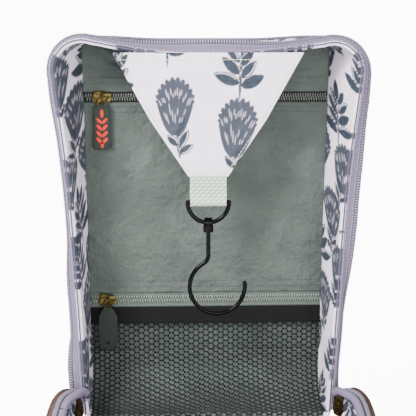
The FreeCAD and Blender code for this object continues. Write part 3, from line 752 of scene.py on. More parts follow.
def sprig(ink, a, b):
    """A stem with broad brushed leaves, in pairs that crowd and turn upright toward its tip."""
    leaf_mark(ink, a, b, (-0.8, -25), 0.04, 40, 2.4)
    pairs = ((-13, 1.2, 19, 8.6), (-7, 0.78, 17, 7.2), (1, 0.62, 17, 6.2), (8, 0.45, 15, 5.4))
    for k, (y, turn, size, width) in enumerate(pairs):
        leaf_mark(ink, a, b, (-0.9, y), -turn, size, width, vein=1.3 if k % 2 == 0 else 0)
        leaf_mark(ink, a, b, (0.5, y - 2.5), turn * 0.93, size * 0.92, width, vein=1.3 if k % 2 else 0)
    leaf_mark(ink, a, b, (0.2, 11), 0.03, 16, 5.6)


def painted(u, v, marks):
    """Ink on a cloth with coordinates u, v: each mark is a motif, its place, turn and size."""
    ink = np.zeros(u.shape)
    for motif, centre_u, centre_v, turn, size in marks:
        du, dv = (u - centre_u) / size, (v - centre_v) / size
        near = du * du + dv * dv < 40 ** 2
        if not near.any():
            continue
        cos, sin = math.cos(turn), math.sin(turn)
        a, b = du[near] * cos - dv[near] * sin, du[near] * sin + dv[near] * cos
        part = ink[near]
        motif(part, a, b)
        ink[near] = part
    return ink


def strewn(u_range, v_range, step, upright, seed, size=1.0):
    """Motifs in a half-drop layout over a strip of cloth, each turned and sized a little its own way."""
    random = np.random.default_rng(seed)
    marks = []
    for i, u in enumerate(np.arange(u_range[0], u_range[1] + step[0], step[0])):
        offset = step[1] / 2 if i % 2 else 0
        for j, v in enumerate(np.arange(v_range[0] - step[1] / 2 + offset, v_range[1] + step[1], step[1])):
            motif = protea if (i + 2 * j) % 3 else sprig
            marks.append((motif, u + random.uniform(-3, 3), v + random.uniform(-3, 3),
                          upright + random.uniform(-0.25, 0.25), size * random.uniform(0.88, 1.05)))
    return marks


# ---------------------------------------------------------------- tray walls, panels and rims

# round half widths that turn a cloth's -1 to 1 across it into millimetres, for its weave and print
PANEL_HALF_WIDTH = 90.0
POCKET_HALF_WIDTH = 82.0


def sag(u, v, depth, seed):
    """How far the soft wall leaves its straight shape, inward positive."""
    inner = np.sin(math.pi * np.clip(v / depth, 0, 1))
    return inner * (0.9 * noise(u, v, 38, seed) + 0.5 * noise(u, v, 15, seed + 1))


def wall_point(tray, seed):
    depth = DEPTH[tray]

    def point(u, v, h):
        """u along the outline, v down from the rim, h inward from the wall's outer face."""
        x, s, out_x, out_s = OUTLINES[tray].point(u, np.clip(v, 0, depth), depth, 0)
        push = h + sag(u, v, depth, seed)
        return to_world(tray, x - out_x * push, s - out_s * push, -v)
    return point


def tray_walls(tray, seed):
    depth = DEPTH[tray]
    point = wall_point(tray, seed)
    us = np.linspace(0, OUTLINE.length, 940, endpoint=False)
    half = OUTLINE.open_length / 2

    def upright_marks(size):
        # the cloth's up runs along the wall on the left, and back along it on the right
        left = strewn((4, half), (0, broad), (33, 25), math.pi / 2, seed + 5, size)
        right = strewn((half + 8, OUTLINE.length), (0, broad), (33, 25), -math.pi / 2, seed + 6, size)
        return left + right

    # the gusset is cut on the bias, which draws its print out across the wall
    bias = 1.8
    broad = depth / bias
    inner_marks = upright_marks(0.8)
    lining = slab(f"{tray}_wall_lining", "print", point, us, np.linspace(0.2, depth - 0.3, 52),
                  WALL, WALL_OUTER + 0.05, wrap=True, ink=lambda u, v: painted(u, v / bias, inner_marks))
    finish_piece(lining, tray, "print_fabric", f"{tray}_gusset_lining")
    outer_marks = upright_marks(0.78)

    def outer_point(u, v, h):
        """The outer face rounds in under the wall where the panel is sewn on."""
        bulge = -0.9 * np.sin(math.pi * np.clip(v / depth, 0, 1)) ** 2
        under = np.clip(v - (depth - 4), 0, 8)
        return point(u, v, h + bulge * (h < 1) + 0.06 * under ** 2 * (h < 1))

    shell = slab(f"{tray}_wall_shell", "print", outer_point, us, np.linspace(0, depth + 0.2, 42),
                 0.0, WALL_OUTER, wrap=True, ink=lambda u, v: painted(u, v / bias, outer_marks))
    finish_piece(shell, tray, "print_fabric", f"{tray}_gusset_outer", f"{tray}_gusset_foam")


def tray_panels(tray, seed):
    """The floor of the base or the back of the lid: a padded printed panel and its plain lining."""
    depth = DEPTH[tray]
    word = "bottom" if tray == "base" else "back"
    eta = 0.5 - 0.5 * np.cos(np.linspace(0, math.pi, 220))
    xi = np.linspace(-1, 1, 170)
    span = PANEL_LENGTH + PANEL_EXTRA[tray] - FOLD_EDGE

    def point(a, b, h):
        """a from -1 to 1 across, b from 0 to 1 away from the fold, h out of the tray's mouth."""
        s = FOLD_EDGE + span * b
        half = row_half(s, tray=tray)
        x = a * np.maximum(half, 1)
        rim = np.minimum(1 - np.abs(a), 2 * np.minimum(b, 1 - b))
        crown = smooth(rim, 0, 0.3)
        if tray == "base":
            soft = np.where(h < -1, 0.9 * (1 - smooth(rim, 0, 0.06)), 0)
        else:
            soft = np.where(h < -1, 1.6 * (1 - smooth(rim, 0, 0.06)) - 1.6 * crown
                            - 0.9 * crown * noise(x, s, 45, seed), 0)
        return to_world(tray, x, s + corner_rise(tray, x, s), -depth + h + soft)

    def marks_at(a, b):
        s = FOLD_EDGE + span * b
        return painted(a * PANEL_HALF_WIDTH, s, marks)

    marks = strewn((-84, 84), (0, 250), (44, 64), 0.0, seed)
    panel = slab(f"{tray}_{word}_panel", "print", point, xi, eta, -LAMINATE, -WALL_LINING - 0.05,
                 ink=marks_at)
    scale_cloth(panel, PANEL_HALF_WIDTH, span)
    finish_piece(panel, tray, "print_fabric", f"{tray}_{word}_outer", f"{tray}_{word}_foam")
    lining = slab(f"{tray}_{word}_lining_cloth", "lining", point, xi[::2], eta[::2], 0.0, -WALL_LINING,
                  ink=lambda a, b: lining_marks(a * PANEL_HALF_WIDTH, FOLD_EDGE + span * b))
    scale_cloth(lining, PANEL_HALF_WIDTH, span)
    finish_piece(lining, tray, "lining", f"{tray}_{word}_lining")
    bead(f"{tray}_{word}_piping", tray, depth + LAMINATE * 0.35)


def scale_cloth(item, across, along):
    """Turn a sheet's unit coordinates into millimetres, so that its weave is the right size.

    across is a half width, or a function that gives it at a place along the sheet.
    """
    layer = item.data.attributes["cloth"]
    values = np.empty(len(layer.data) * 3)
    layer.data.foreach_get("vector", values)
    values = values.reshape(-1, 3)
    values[:, 0] *= across(values[:, 1]) if callable(across) else across
    values[:, 1] *= along
    layer.data.foreach_set("vector", values.ravel())


def tube(name, material, path, radius, closed=False, sides=8):
    """A round tube along a path of world points, in millimetres."""
    path = np.asarray(path, float)
    ahead = np.roll(path, -1, axis=0) if closed else np.vstack([path[1:], path[-1:]])
    behind = np.roll(path, 1, axis=0) if closed else np.vstack([path[:1], path[:-1]])
    tangent = ahead - behind
    tangent /= np.linalg.norm(tangent, axis=1, keepdims=True)
    guide = np.cross(tangent, tangent[0] * 0 + np.array((0.3, 0.5, 0.81)))
    guide /= np.linalg.norm(guide, axis=1, keepdims=True)
    other = np.cross(tangent, guide)
    turns = np.arange(sides) * 2 * math.pi / sides
    rings = (path[:, None] + radius * (np.cos(turns)[None, :, None] * guide[:, None]
                                       + np.sin(turns)[None, :, None] * other[:, None]))
    count = len(path)
    index = np.arange(count * sides).reshape(count, sides)
    follow = np.vstack([index[1:], index[:1]]) if closed else index[1:]
    first = index if closed else index[:-1]
    faces = np.stack([first, np.roll(first, -1, 1), np.roll(follow, -1, 1), follow], axis=-1).reshape(-1, 4)
    faces = faces.tolist()
    if not closed:
        faces += [list(index[0])[::-1], list(index[-1])]
    cloth = np.zeros((count * sides, 3))
    cloth[:, 0] = np.repeat(np.arange(count), sides)
    return outward(mesh_piece(name, rings.reshape(-1, 3), faces, material, cloth=cloth,
                              ink=np.zeros(count * sides)))


def bead(name, tray, level):
    """Piping round the seam between the wall and the panel."""
    us = np.linspace(0, OUTLINE.length, 420, endpoint=False)
    x, s, out_x, out_s = OUTLINES[tray].point(us, DEPTH[tray], DEPTH[tray], 0.0)
    path = to_world(tray, x + 0.2 * out_x, s + 0.2 * out_s, -level)
    finish_piece(tube(name, "tape", path, 1.15, closed=True), tray, "main_tape")


# the tape of the standing lid leans back: degrees at shares of the way round from the left foot
LEAN_AT = (0.0, 0.045, 0.08, 0.20, 0.33, 0.38, 0.42, 0.50, 0.58, 0.62, 0.68, 0.80, 0.84, 0.90, 0.95, 1.0)
LEAN = (8, 4, 50, 64, 68, 70, 66, 10, 60, 68, 38, 14, 34, 57, 60, 45)


def rim_point(tray, seed):
    depth = DEPTH[tray]
    total = OUTLINE.open_length

    def point(u, r, h):
        """u along the outline, r outward from the wall, h up from the tape's face."""
        x, s, out_x, out_s = OUTLINES[tray].point(u, 0.0, depth, 0.0)
        lean = np.interp(u / total, LEAN_AT, LEAN) if tray == "lid" else 0.0 * u
        wave = 0.5 if tray == "lid" else 0.12
        angle = np.radians(lean + wave * 14 * noise(u, 0 * u, 32, seed))
        bend = smooth(r, 0, 2.5) * angle
        out = r * np.cos(bend) + h * np.sin(bend)
        up = h * np.cos(bend) - r * np.sin(bend)
        return to_world(tray, x + out_x * out, s + out_s * out, up)
    return point


def tray_rim(tray, seed):
    """Main zip half: woven tape, its row of coil teeth and the seam that holds it to the wall."""
    point = rim_point(tray, seed)
    start = corner("lid_zip_tape", 0).z - FOLD.z if tray == "lid" else FOLD.y - corner("base_zip_tape", 1).y
    first = start - FOLD_EDGE - FOLD_CORNER
    us = np.linspace(max(first, 0), OUTLINE.open_length - max(first, 0), 620)
    tape = slab(f"{tray}_tape", "tape", point, us, np.linspace(-SEAM, TAPE_WIDTH, 13), 0.0, -0.9)
    finish_piece(tape, tray, "main_tape", f"{tray}_zip_tape")
    teeth_path, normals = path_on(point, us, TAPE_WIDTH - 1.5, 0.45)
    frames = frames_along(teeth_path, normals, 1.75)
    turned = frames.copy()
    turned[:, :, 0], turned[:, :, 1] = frames[:, :, 1], -frames[:, :, 0]
    teeth = stamp(f"{tray}_teeth", "coil", capsule(3.0, 0.95, 1.1), turned)
    finish_piece(teeth, tray, "main_coil", f"{tray}_zip_coil")
    rows = [path_on(point, us, place, 0.1) for place in (0.9, TAPE_WIDTH - 4.0)]
    stitch_rows(f"{tray}_tape_stitches", "lilac_thread", rows, tray, "main_tape")
    # the bed under the teeth and the seam strip against the wall are darker tape: painted shade there
    for word, low, high in (("bed", TAPE_WIDTH - 3.4, TAPE_WIDTH + 0.05), ("seam", -1.6, -0.6)):
        strip = slab(f"{tray}_tape_{word}", "shaded_tape", point, us, np.linspace(low, high, 4), 0.22, -0.3)
        finish_piece(strip, tray, "main_tape")


def lining_marks(u, v):
    """Sparse faint sprigs, tone on tone, slanting up the lining."""
    marks = []
    for i in range(-1, 3):
        for j in range(5):
            marks.append((sprig, -66 + 56 * i + 20 * (j % 2), 20 + 52 * j, 0.6, 0.55))
    return painted(np.asarray(u, float), np.asarray(v, float), marks)


# ---------------------------------------------------------------- pockets on the lid

POCKET_SHARE = -POCKET_Z / LID_DEPTH


def pocket_half(s):
    return row_half(s, WALL - 0.4, POCKET_SHARE, rounded_near=False)


def pocket_point(lift):
    """lift(x, s) is how far the cloth stands out from the pocket's flat layer."""
    def point(a, s, h):
        x = a * pocket_half(s)
        edge = 1 - np.abs(a) ** 8
        return to_world("lid", x, s + corner_rise("lid", x, s), POCKET_Z + h + edge * lift(x, s))
    return point


def crease(x, s):
    """Soft drag lines that run slantwise over the grey cloth."""
    slant = x * 0.55 + s
    broad = 0.5 * noise(slant, x * 0.25, 17, 31) + 0.3 * noise(x - 0.4 * s, s * 0.3, 12, 37)
    sharp = 1 - 2 * np.abs(noise(x * 0.7 + s, 0.3 * x - 0.5 * s, 21, 43))
    return broad + 0.3 * sharp


def front_lift(x, s):
    """The pocket front bellies a little and creases; its two zip edges lie flat."""
    middle = (TOP_ZIP + MESH_ZIP) / 2
    span = (TOP_ZIP - MESH_ZIP) / 2 - ZIP_HALF
    return (1 - ((s - middle) / span) ** 2).clip(0, 1) * (1.4 + 2.1 * crease(x, s))


def header_lift(x, s):
    """Two shallow pleats above the zip, and two folds that drag down from the left corner."""
    t = s - (TOP_ZIP + ZIP_HALF)
    pleats = 0.5 * np.exp(-((t - 6) / 1.2) ** 2) + 0.5 * np.exp(-((t - 11) / 1.2) ** 2)
    drag = s - (256 - 0.42 * (x + 79))
    folds = 2.2 * np.exp(-(drag / 1.9) ** 2) + 1.3 * np.exp(-((drag + 7) / 1.6) ** 2)
    return pleats + folds * smooth(-x, 30, 52) + 0.3 * crease(x, s)


def pocket_sheet(name, material, slot, low, high, lift, node, rows=60, columns=150, thick=0.8, ink=None):
    point = pocket_point(lift)
    across = np.linspace(-1, 1, columns)
    item = slab(name, material, point, across, np.linspace(low, high, rows), 0.35, 0.35 - thick, ink=ink)
    scale_cloth(item, POCKET_HALF_WIDTH, 1)
    finish_piece(item, "lid", slot, *([node] if node else []))
    width = float(pocket_half((low + high) / 2)) * 2
    return point


def pocket_zip(prefix, height):
    """Tape pair and two interlocked rows of coil teeth."""
    flat = lambda x, s: 0.15 * noise(x, s, 20, 41)
    slit = 0.35
    halves = (("upper", height + slit, height + ZIP_HALF), ("lower", height - ZIP_HALF, height - slit))
    for side, low, high in halves:
        point = pocket_point(flat)
        item = slab(f"{prefix}_tape_{side}", f"{prefix}_tape", point, np.linspace(-1, 1, 90),
                    np.linspace(low, high, 6), -0.3, -0.9)
        scale_cloth(item, POCKET_HALF_WIDTH, 1)
        finish_piece(item, "lid", "pocket_tape")
    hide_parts(f"{prefix}_zip_tape")
    point = pocket_point(flat)
    across = np.linspace(-0.985, 0.985, 400)
    frames = []
    for sign in (1, -1):
        path, normals = path_on(point, across, height + sign * 1.25, 0.75)
        row = frames_along(path, normals, 1.7, 0.5 if sign > 0 else 0.98)
        tilt = sign * 0.22
        x, y = row[:, :, 0].copy(), row[:, :, 1].copy()
        row[:, :, 0] = y * math.cos(tilt) + x * math.sin(tilt)
        row[:, :, 1] = y * math.sin(tilt) - x * math.cos(tilt)
        frames.append(row)
    teeth = stamp(f"{prefix}_teeth", f"{prefix}_coil", capsule(3.0, 0.9, 1.1), np.concatenate(frames))
    finish_piece(teeth, "lid", "pocket_coil", f"{prefix}_zip_coil")


COVE_FROM = 34.0
COVE_LIP = -4.0


def cove(run):
    """s, z and the outward direction of the net's profile at a height run.

    It is flat, below COVE_FROM it sweeps forward along a quarter of an ellipse, and then it dips over
    the fold wall's rim.
    """
    tall, deep = COVE_FROM - COVE_FLOOR, COVE_LIP - POCKET_Z
    run = np.asarray(run, float)
    angle = np.clip((COVE_FROM - run) / COVE_REACH, 0, 1) * math.pi / 2
    past = np.maximum(COVE_FROM - COVE_REACH - run, 0)
    s = np.where(run > COVE_FROM, run, COVE_FROM - tall * np.sin(angle)) - 0.6 * past
    z = POCKET_Z + deep * (1 - np.cos(angle)) + 0.8 * past
    normal_s, normal_z = deep * np.sin(angle), tall * np.cos(angle) + 0.5 * deep * (past > 0)
    size = np.hypot(normal_s, normal_z)
    return s, z, normal_s / size, normal_z / size


def cove_place(x, run, lift):
    s, z, normal_s, normal_z = cove(run)
    return to_world("lid", x, s + lift * normal_s, z + lift * normal_z)


COVE_FLOOR = FOLD_EDGE + WALL + 3.4
COVE_REACH = 0.5 * math.pi * math.sqrt(((COVE_FROM - COVE_FLOOR) ** 2 + (COVE_LIP - POCKET_Z) ** 2) / 2)
COVE_LOW = COVE_FROM - COVE_REACH - 6.3


def cove_lining():
    """The grey lining carries on down behind the net and sweeps forward over the fold wall."""
    def point(a, run, h):
        x = a * pocket_half(np.maximum(cove(run)[0], COVE_FROM / 2))
        return cove_place(x, run, -1.3 + h + 0.3 * noise(x, run, 24, 57))

    rows = np.linspace(COVE_LOW, COVE_FROM + 8, 50)
    item = slab("fold_wall_lining", "lining", point, np.linspace(-1, 1, 90), rows, 0.0, -0.6,
                ink=lambda a, run: 0 * a * run)
    scale_cloth(item, POCKET_HALF_WIDTH, 1)
    finish_piece(item, "lid", "lining")


def net_piece(low, high):
    """Black net: a honeycomb of round-cornered holes, each ringed by yarn."""
    pitch, hole, thick = 4.05, 1.80, 0.26
    rise = pitch * math.sqrt(3) / 2
    sides = 12
    half = float(pocket_half((low + high) / 2))
    points, faces = [], []
    lookup = {}

    def shared(x, s):
        key = (round(x, 2), round(s, 2))
        if key not in lookup:
            lookup[key] = len(points)
            points.append((x, s))
        return lookup[key]

    rows = int((high - low) / pitch)
    columns = int(2 * half / rise)
    radius = pitch / math.sqrt(3)
    for i in range(columns + 1):
        for j in range(rows + i % 2):
            cx = (i - columns / 2) * rise
            cs = high - (j + (0 if i % 2 else 0.5)) * pitch
            ring, inner = [], []
            for k in range(6):
                one, two = (math.radians(60 * (k + n)) for n in (0, 1))
                a = (cx + radius * math.cos(one), cs + radius * math.sin(one))
                b = (cx + radius * math.cos(two), cs + radius * math.sin(two))
                ring += [shared(*a), shared((a[0] + b[0]) / 2, (a[1] + b[1]) / 2)]
            for k in range(sides):
                angle = 2 * math.pi * k / sides
                inner.append(len(points))
                points.append((cx + hole * math.cos(angle), cs + hole * math.sin(angle)))
            for k in range(sides):
                n = (k + 1) % sides
                faces.append((ring[k], ring[n], inner[n], inner[k]))
    flat = np.array(points)
    x, run = flat[:, 0], flat[:, 1]
    half_here = pocket_half(np.maximum(cove(run)[0], COVE_FROM / 2))
    run = np.clip(run, low, high)
    x = np.clip(x, 0.1 - half_here, half_here - 0.1)
    edge = 1 - np.abs(x / half).clip(0, 1) ** 6
    billow = 0.6 * np.sin(math.pi * ((run - low) / (high - low)).clip(0, 1)) + 0.45 * noise(x, run, 20, 55)
    place = cove_place(x, run, edge * billow)
    cloth = np.stack([x, run, 0 * x], axis=-1)
    item = mesh_piece("net_pocket", place, faces, "net", cloth=cloth)
    yarn = item.modifiers.new("yarn", "SOLIDIFY")
    yarn.thickness = thick * MM
    yarn.offset = 0.0
    finish_piece(item, "lid", "black_net", "mesh_net")


# half height of the tape that shows beside each pocket zip's teeth
ZIP_SHOW = 3.5


def pockets():
    low, high = MESH_ZIP + ZIP_SHOW + 0.8, TOP_ZIP - ZIP_SHOW
    front = pocket_sheet("pocket_front_cloth", "lining", "lining", low, high, front_lift, "pocket_front",
                         rows=110, columns=150, ink=lambda a, s: lining_marks(a * POCKET_HALF_WIDTH, s))
    header = pocket_sheet("pocket_header_cloth", "lining", "lining", TOP_ZIP + ZIP_SHOW, HEADER_TOP,
                          header_lift, "pocket_header", rows=40, ink=lambda a, s: 0 * a * s)
    pocket_zip("top", TOP_ZIP)
    pocket_zip("mesh", MESH_ZIP)
    band_high = MESH_ZIP - ZIP_HALF
    pocket_sheet("net_binding", "band", "black_band", BAND_LOW, band_high, lambda x, s: 0.5 + 0 * x,
                 "mesh_band", rows=10, columns=120, thick=1.0)
    net_piece(COVE_LOW, BAND_LOW + 1)
    cove_lining()
    across = np.linspace(-0.985, 0.985, 300)
    rows = [path_on(front, across, high - gap, 0.47) for gap in (3.2, 6.8)]
    rows += [path_on(front, across, low + gap, 0.47) for gap in (4.4, 8.6)]
    rows += [path_on(header, across * 0.97, TOP_ZIP + ZIP_SHOW + gap, 0.47) for gap in (5.5, 9.5)]
    stitch_rows("pocket_stitches", "dark_thread", rows, "lid", "lining")


# ---------------------------------------------------------------- hook flap and webbing

FLAP_WAIST = 38.0
FLAP_WAIST_AT = 210.0
FLAP_TOP_HALF = corner("flap_print", 1).x
FLAP_END_HALF = WEBBING_HALF + 0.9


def flap_half(s):
    """Half width of the flap: slanted sides that ease into the narrow end."""
    heights = (FLAP_BOTTOM, FLAP_WAIST_AT, FLAP_TOP)
    return np.interp(s, heights, (FLAP_END_HALF, FLAP_WAIST, FLAP_TOP_HALF))


def flap_point(a, s, h):
    x = a * flap_half(s)
    share = (FLAP_TOP - s) / (FLAP_TOP - FLAP_BOTTOM)
    middle = (FLAP_FRONT + FLAP_BACK) / 2
    soft = 0.45 * smooth(share, 0.05, 0.4) * noise(x, s, 26, 61) * (1 - smooth(share, 0.85, 1.0))
    return to_world("lid", x, s, middle + h + soft)


def flap():
    marks = [
        (protea, -21.6, 218, 0.0, 0.92), (protea, 18.5, 204, 0.12, 0.95), (sprig, 21, 246, 0.0, 0.95),
        (sprig, -26, 267, 0.0, 0.95), (sprig, -62, 243, 0.15, 0.95),
    ]
    thick = (FLAP_FRONT - FLAP_BACK) / 2
    item = slab("flap_cloth", "print", flap_point, np.linspace(-1, 1, 190),
                np.linspace(FLAP_BOTTOM, FLAP_TOP, 130), thick, -thick,
                ink=lambda a, s: painted(a * flap_half(s), s, marks))
    scale_cloth(item, flap_half, 1)
    finish_piece(item, "flap", "print_fabric", "flap_print", "flap_lining")
    lift = thick + 0.12
    side = np.linspace(FLAP_BOTTOM + 2.2, FLAP_TOP - 1, 160)
    rows = []
    for sign in (-1, 1):
        rows.append(path_on(flap_point, sign * (1 - 2.4 / flap_half(side)), side, lift))
    rows.append(path_on(flap_point, np.linspace(-0.96, 0.96, 120), FLAP_TOP - 4.5, lift))
    rows.append(path_on(flap_point, np.linspace(-0.86, 0.86, 40), FLAP_BOTTOM + 2.2, lift))
    stitch_rows("flap_stitches", "white_thread", rows, "flap", "print_fabric", pitch=2.6)


def webbing():
    """A strap folded in two round the ring's bar, its ends at the flap's narrow end."""
    bar_s, bar_z = RING_BAR.z - FOLD.z, RIM_Y - RING_BAR.y
    inner, outer = 1.75, 2.75
    top = FLAP_BOTTOM - 0.1
    gap = 0.15

    # section of the folded strap in the s, z plane: down its front, round the bar and up its back
    angles = np.linspace(math.radians(55), math.radians(-235), 30)
    loop_out = [(bar_s + outer * math.sin(t), bar_z + outer * math.cos(t)) for t in angles]
    loop_in = [(bar_s + inner * math.sin(t), bar_z + inner * math.cos(t)) for t in angles]
    front_out = [(s, bar_z + 1.1) for s in np.linspace(top, bar_s + 5, 10)]
    back_out = [(s, bar_z - 1.1) for s in np.linspace(bar_s + 5, top, 10)]
    front_in = [(s, bar_z + gap) for s in np.linspace(top, bar_s + 3.2, 10)]
    back_in = [(s, bar_z - gap) for s in np.linspace(bar_s + 3.2, top, 10)]
    outer_line = np.array(front_out + loop_out + back_out)
    inner_line = np.array(front_in + loop_in + back_in)
    run = run_along(outer_line)

    def point(x, t, h):
        share = (h + 1) / 2
        line_s, line_z = (np.interp(t, run, outer_line[:, k]) * share
                          + np.interp(t, run, inner_line[:, k]) * (1 - share) for k in range(2))
        edge = 0.2 * noise(t, 0 * t, 3, 71) * (np.abs(x) > WEBBING_HALF - 1)
        return to_world("lid", x + np.sign(x) * edge, line_s, line_z)

    across = np.linspace(-WEBBING_HALF, WEBBING_HALF, 40)
    item = slab("webbing_strap", "webbing", point, across, run, 1.0, -1.0)
    finish_piece(item, "flap", "webbing", "webbing_loop")


# ---------------------------------------------------------------- sliders, tags, fold and hardware

def add_modifier_bevel(item, width, segments=2):
    bevel = item.modifiers.new("worn_edges", "BEVEL")
    bevel.width = width * MM
    bevel.segments = segments
    bevel.limit_method = "ANGLE"
    bevel.angle_limit = math.radians(40)


def prism(outline, low, high):
    """Points and faces of an upright prism over a closed outline of (x, y) points."""
    count = len(outline)
    points = [(x, y, low) for x, y in outline] + [(x, y, high) for x, y in outline]
    faces = [tuple(range(count))[::-1], tuple(range(count, 2 * count))]
    faces += [(k, (k + 1) % count, (k + 1) % count + count, k + count) for k in range(count)]
    return points, faces


def merged(*parts):
    """One list of points and faces from several."""
    points, faces = [], []
    for more_points, more_faces in parts:
        start = len(points)
        points += list(more_points)
        faces += [tuple(k + start for k in face) for face in more_faces]
    return points, faces


def ring_arc(radius, wire, start, end, plane, centre, steps=20, sides=10):
    """Part of a ring of round wire. plane names the two axes it lies in."""
    points = []
    first, second = plane
    third = 3 - first - second
    for i in range(steps + 1):
        angle = start + (end - start) * i / steps
        for k in range(sides):
            turn = 2 * math.pi * k / sides
            spot = [0.0, 0.0, 0.0]
            reach = radius + wire * math.cos(turn)
            spot[first] = reach * math.cos(angle)
            spot[second] = reach * math.sin(angle)
            spot[third] = wire * math.sin(turn)
            points.append(tuple(spot[n] + centre[n] for n in range(3)))
    return points, joined_rings(steps + 1, sides)


def rounded_rectangle(half_x, low, high, radius, steps=6):
    line = []
    for cx, cy, start in ((half_x - radius, high - radius, 0), (-half_x + radius, high - radius, 90),
                          (-half_x + radius, low + radius, 180), (half_x - radius, low + radius, 270)):
        for k in range(steps + 1):
            angle = math.radians(start + 90 * k / steps)
            line.append((cx + radius * math.cos(angle), cy + radius * math.sin(angle)))
    return line


def placed(parts, frame_matrix):
    points, faces = parts
    points = np.asarray(points, float)
    return points @ frame_matrix[:, :3].T + frame_matrix[:, 3], faces


def pivot_frame(name, x_axis, y_axis):
    """A frame at a joint's pivot, in millimetres: x and y as given, z their cross product."""
    x = np.array(x_axis, float)
    y = np.array(y_axis, float)
    z = np.cross(x, y)
    centre = np.array(joint(name)["pos_m"]) / MM
    return np.stack([x, y, z, centre], axis=1)


def wedge(half_length, wide, narrow, steps=5):
    """Outline of a slider's plate: a broad rounded shoulder that narrows to its tail."""
    line = []
    for k in range(steps + 1):
        angle = math.pi / 2 * k / steps
        line.append((half_length - 2.2 + 2.2 * math.cos(angle), narrow - 1.2 + 1.2 * math.sin(angle)))
    line += [(0.8, narrow + 0.1), (-1.2, wide - 0.3)]
    for k in range(steps + 1):
        angle = math.pi / 2 + math.pi / 2 * k / steps
        line.append((-half_length + 2.4 + 2.4 * math.cos(angle), wide - 2.2 + 2.2 * math.sin(angle)))
    return line + [(x, -y) for x, y in reversed(line)]


def pocket_slider(prefix):
    """Brass slider: two wedge plates, a diamond between them, and a bridge that holds the pull."""
    lift = RIM_Y - np.array(joint(f"{prefix}_pull_swing")["pos_m"])[1] / MM
    here = pivot_frame(f"{prefix}_pull_swing", (1, 0, 0), (0, 0, 1))
    plate = wedge(6.4, 3.7, 2.9)
    back_low = POCKET_Z - lift - 0.8 - 1.3
    rail = ((-5.4, 0), (3.5, -0.8), (3.5, -0.2), (-5.4, 0.6))
    parts = merged(
        prism(plate, -1.95, -0.95),
        prism(plate, back_low, back_low + 0.9),
        prism([(-5.6, 0.5), (-5.6, -0.5), (-3.2, -0.35), (-3.2, 0.35)], back_low, -1.0),
        *(prism([(x, side * (3.9 + y)) for x, y in rail], -3.0, -1.0) for side in (1, -1)),
        ring_arc(2.4, 0.62, 0, math.pi, (1, 2), (0.0, 0.0, -0.95), steps=16),
        ring_arc(1.5, 0.5, 0, math.pi, (0, 2), (3.3, 0.0, -0.95), steps=12),
        ring_arc(3.5, 0.7, 0.0, 2 * math.pi, (0, 1), (-2.2, 0.0, -0.6), steps=30),
    )
    points, faces = placed(parts, here)
    item = mesh_piece(f"{prefix}_slider_body", points, faces, "brass", smooth_faces=False)
    outward(item)
    add_modifier_bevel(item, 0.28)
    finish_piece(item, f"{prefix}_slider", "brass", f"{prefix}_slider")


def tag_piece(prefix, here, accent, stadium=False):
    """Moulded rubber tag with a raised border and a raised leaf."""
    low, high, half = -35.8, -4.8, 6.5
    radius = 6.3 if stadium else 3.2
    top = rounded_rectangle(half, low, high, radius)
    waist = [(x * (0.86 if y > high - 6 else 1.0), y) for x, y in top]
    border_outer = rounded_rectangle(half - 0.9, low + 0.9, high - 0.9, radius - 0.8)
    border_inner = rounded_rectangle(half - 1.8, low + 1.8, high - 1.8, max(radius - 1.6, 0.8))
    count = len(border_outer)
    ring_points = [(x, y, z) for z in (1.1, 1.5) for x, y in border_outer] \
        + [(x, y, z) for z in (1.1, 1.5) for x, y in border_inner]
    ring_faces = []
    for k in range(count):
        n = (k + 1) % count
        ring_faces += [
            (k, n, n + count, k + count),
            (k + count, n + count, n + 3 * count, k + 3 * count),
            (k + 3 * count, n + 3 * count, n + 2 * count, k + 2 * count),
            (k + 2 * count, n + 2 * count, n, k),
        ]
    parts = merged(prism(waist, -1.2, 1.2), (ring_points, ring_faces))
    points, faces = placed(parts, here)
    item = outward(mesh_piece(f"{prefix}_tag", points, faces, "rubber", smooth_faces=False))
    add_modifier_bevel(item, 0.3, 3)
    finish_piece(item, f"{prefix}_pull", "tag_rubber", f"{prefix}_pull_tag" if prefix in ("top", "mesh")
                 else f"{prefix}_main_pull_tag")
    middle = (low + high) / 2
    leaves = []
    pairs = [(y, turn, 5.6 - 0.12 * k) for k, y in enumerate((-11, -6.5, -2, 2.5)) for turn in (0.75, -0.75)]
    for y, turn, size in [(-14.2, 0, 5.0)] + pairs + [(6.5, 0, 6.0)]:
        outline = []
        for n in range(12):
            t = n / 12 * 2 * math.pi
            along, across = size * 0.5 * math.cos(t) + size * 0.5, size * 0.2 * math.sin(t)
            outline.append((across * math.cos(turn) + along * math.sin(turn),
                            middle + y + along * math.cos(turn) - across * math.sin(turn)))
        leaves.append(prism(outline, 1.1, 1.55))
    points, faces = placed(merged(*leaves), here)
    mark = outward(mesh_piece(f"{prefix}_tag_leaf", points, faces, accent, smooth_faces=False))
    finish_piece(mark, f"{prefix}_pull", "tag_rubber")


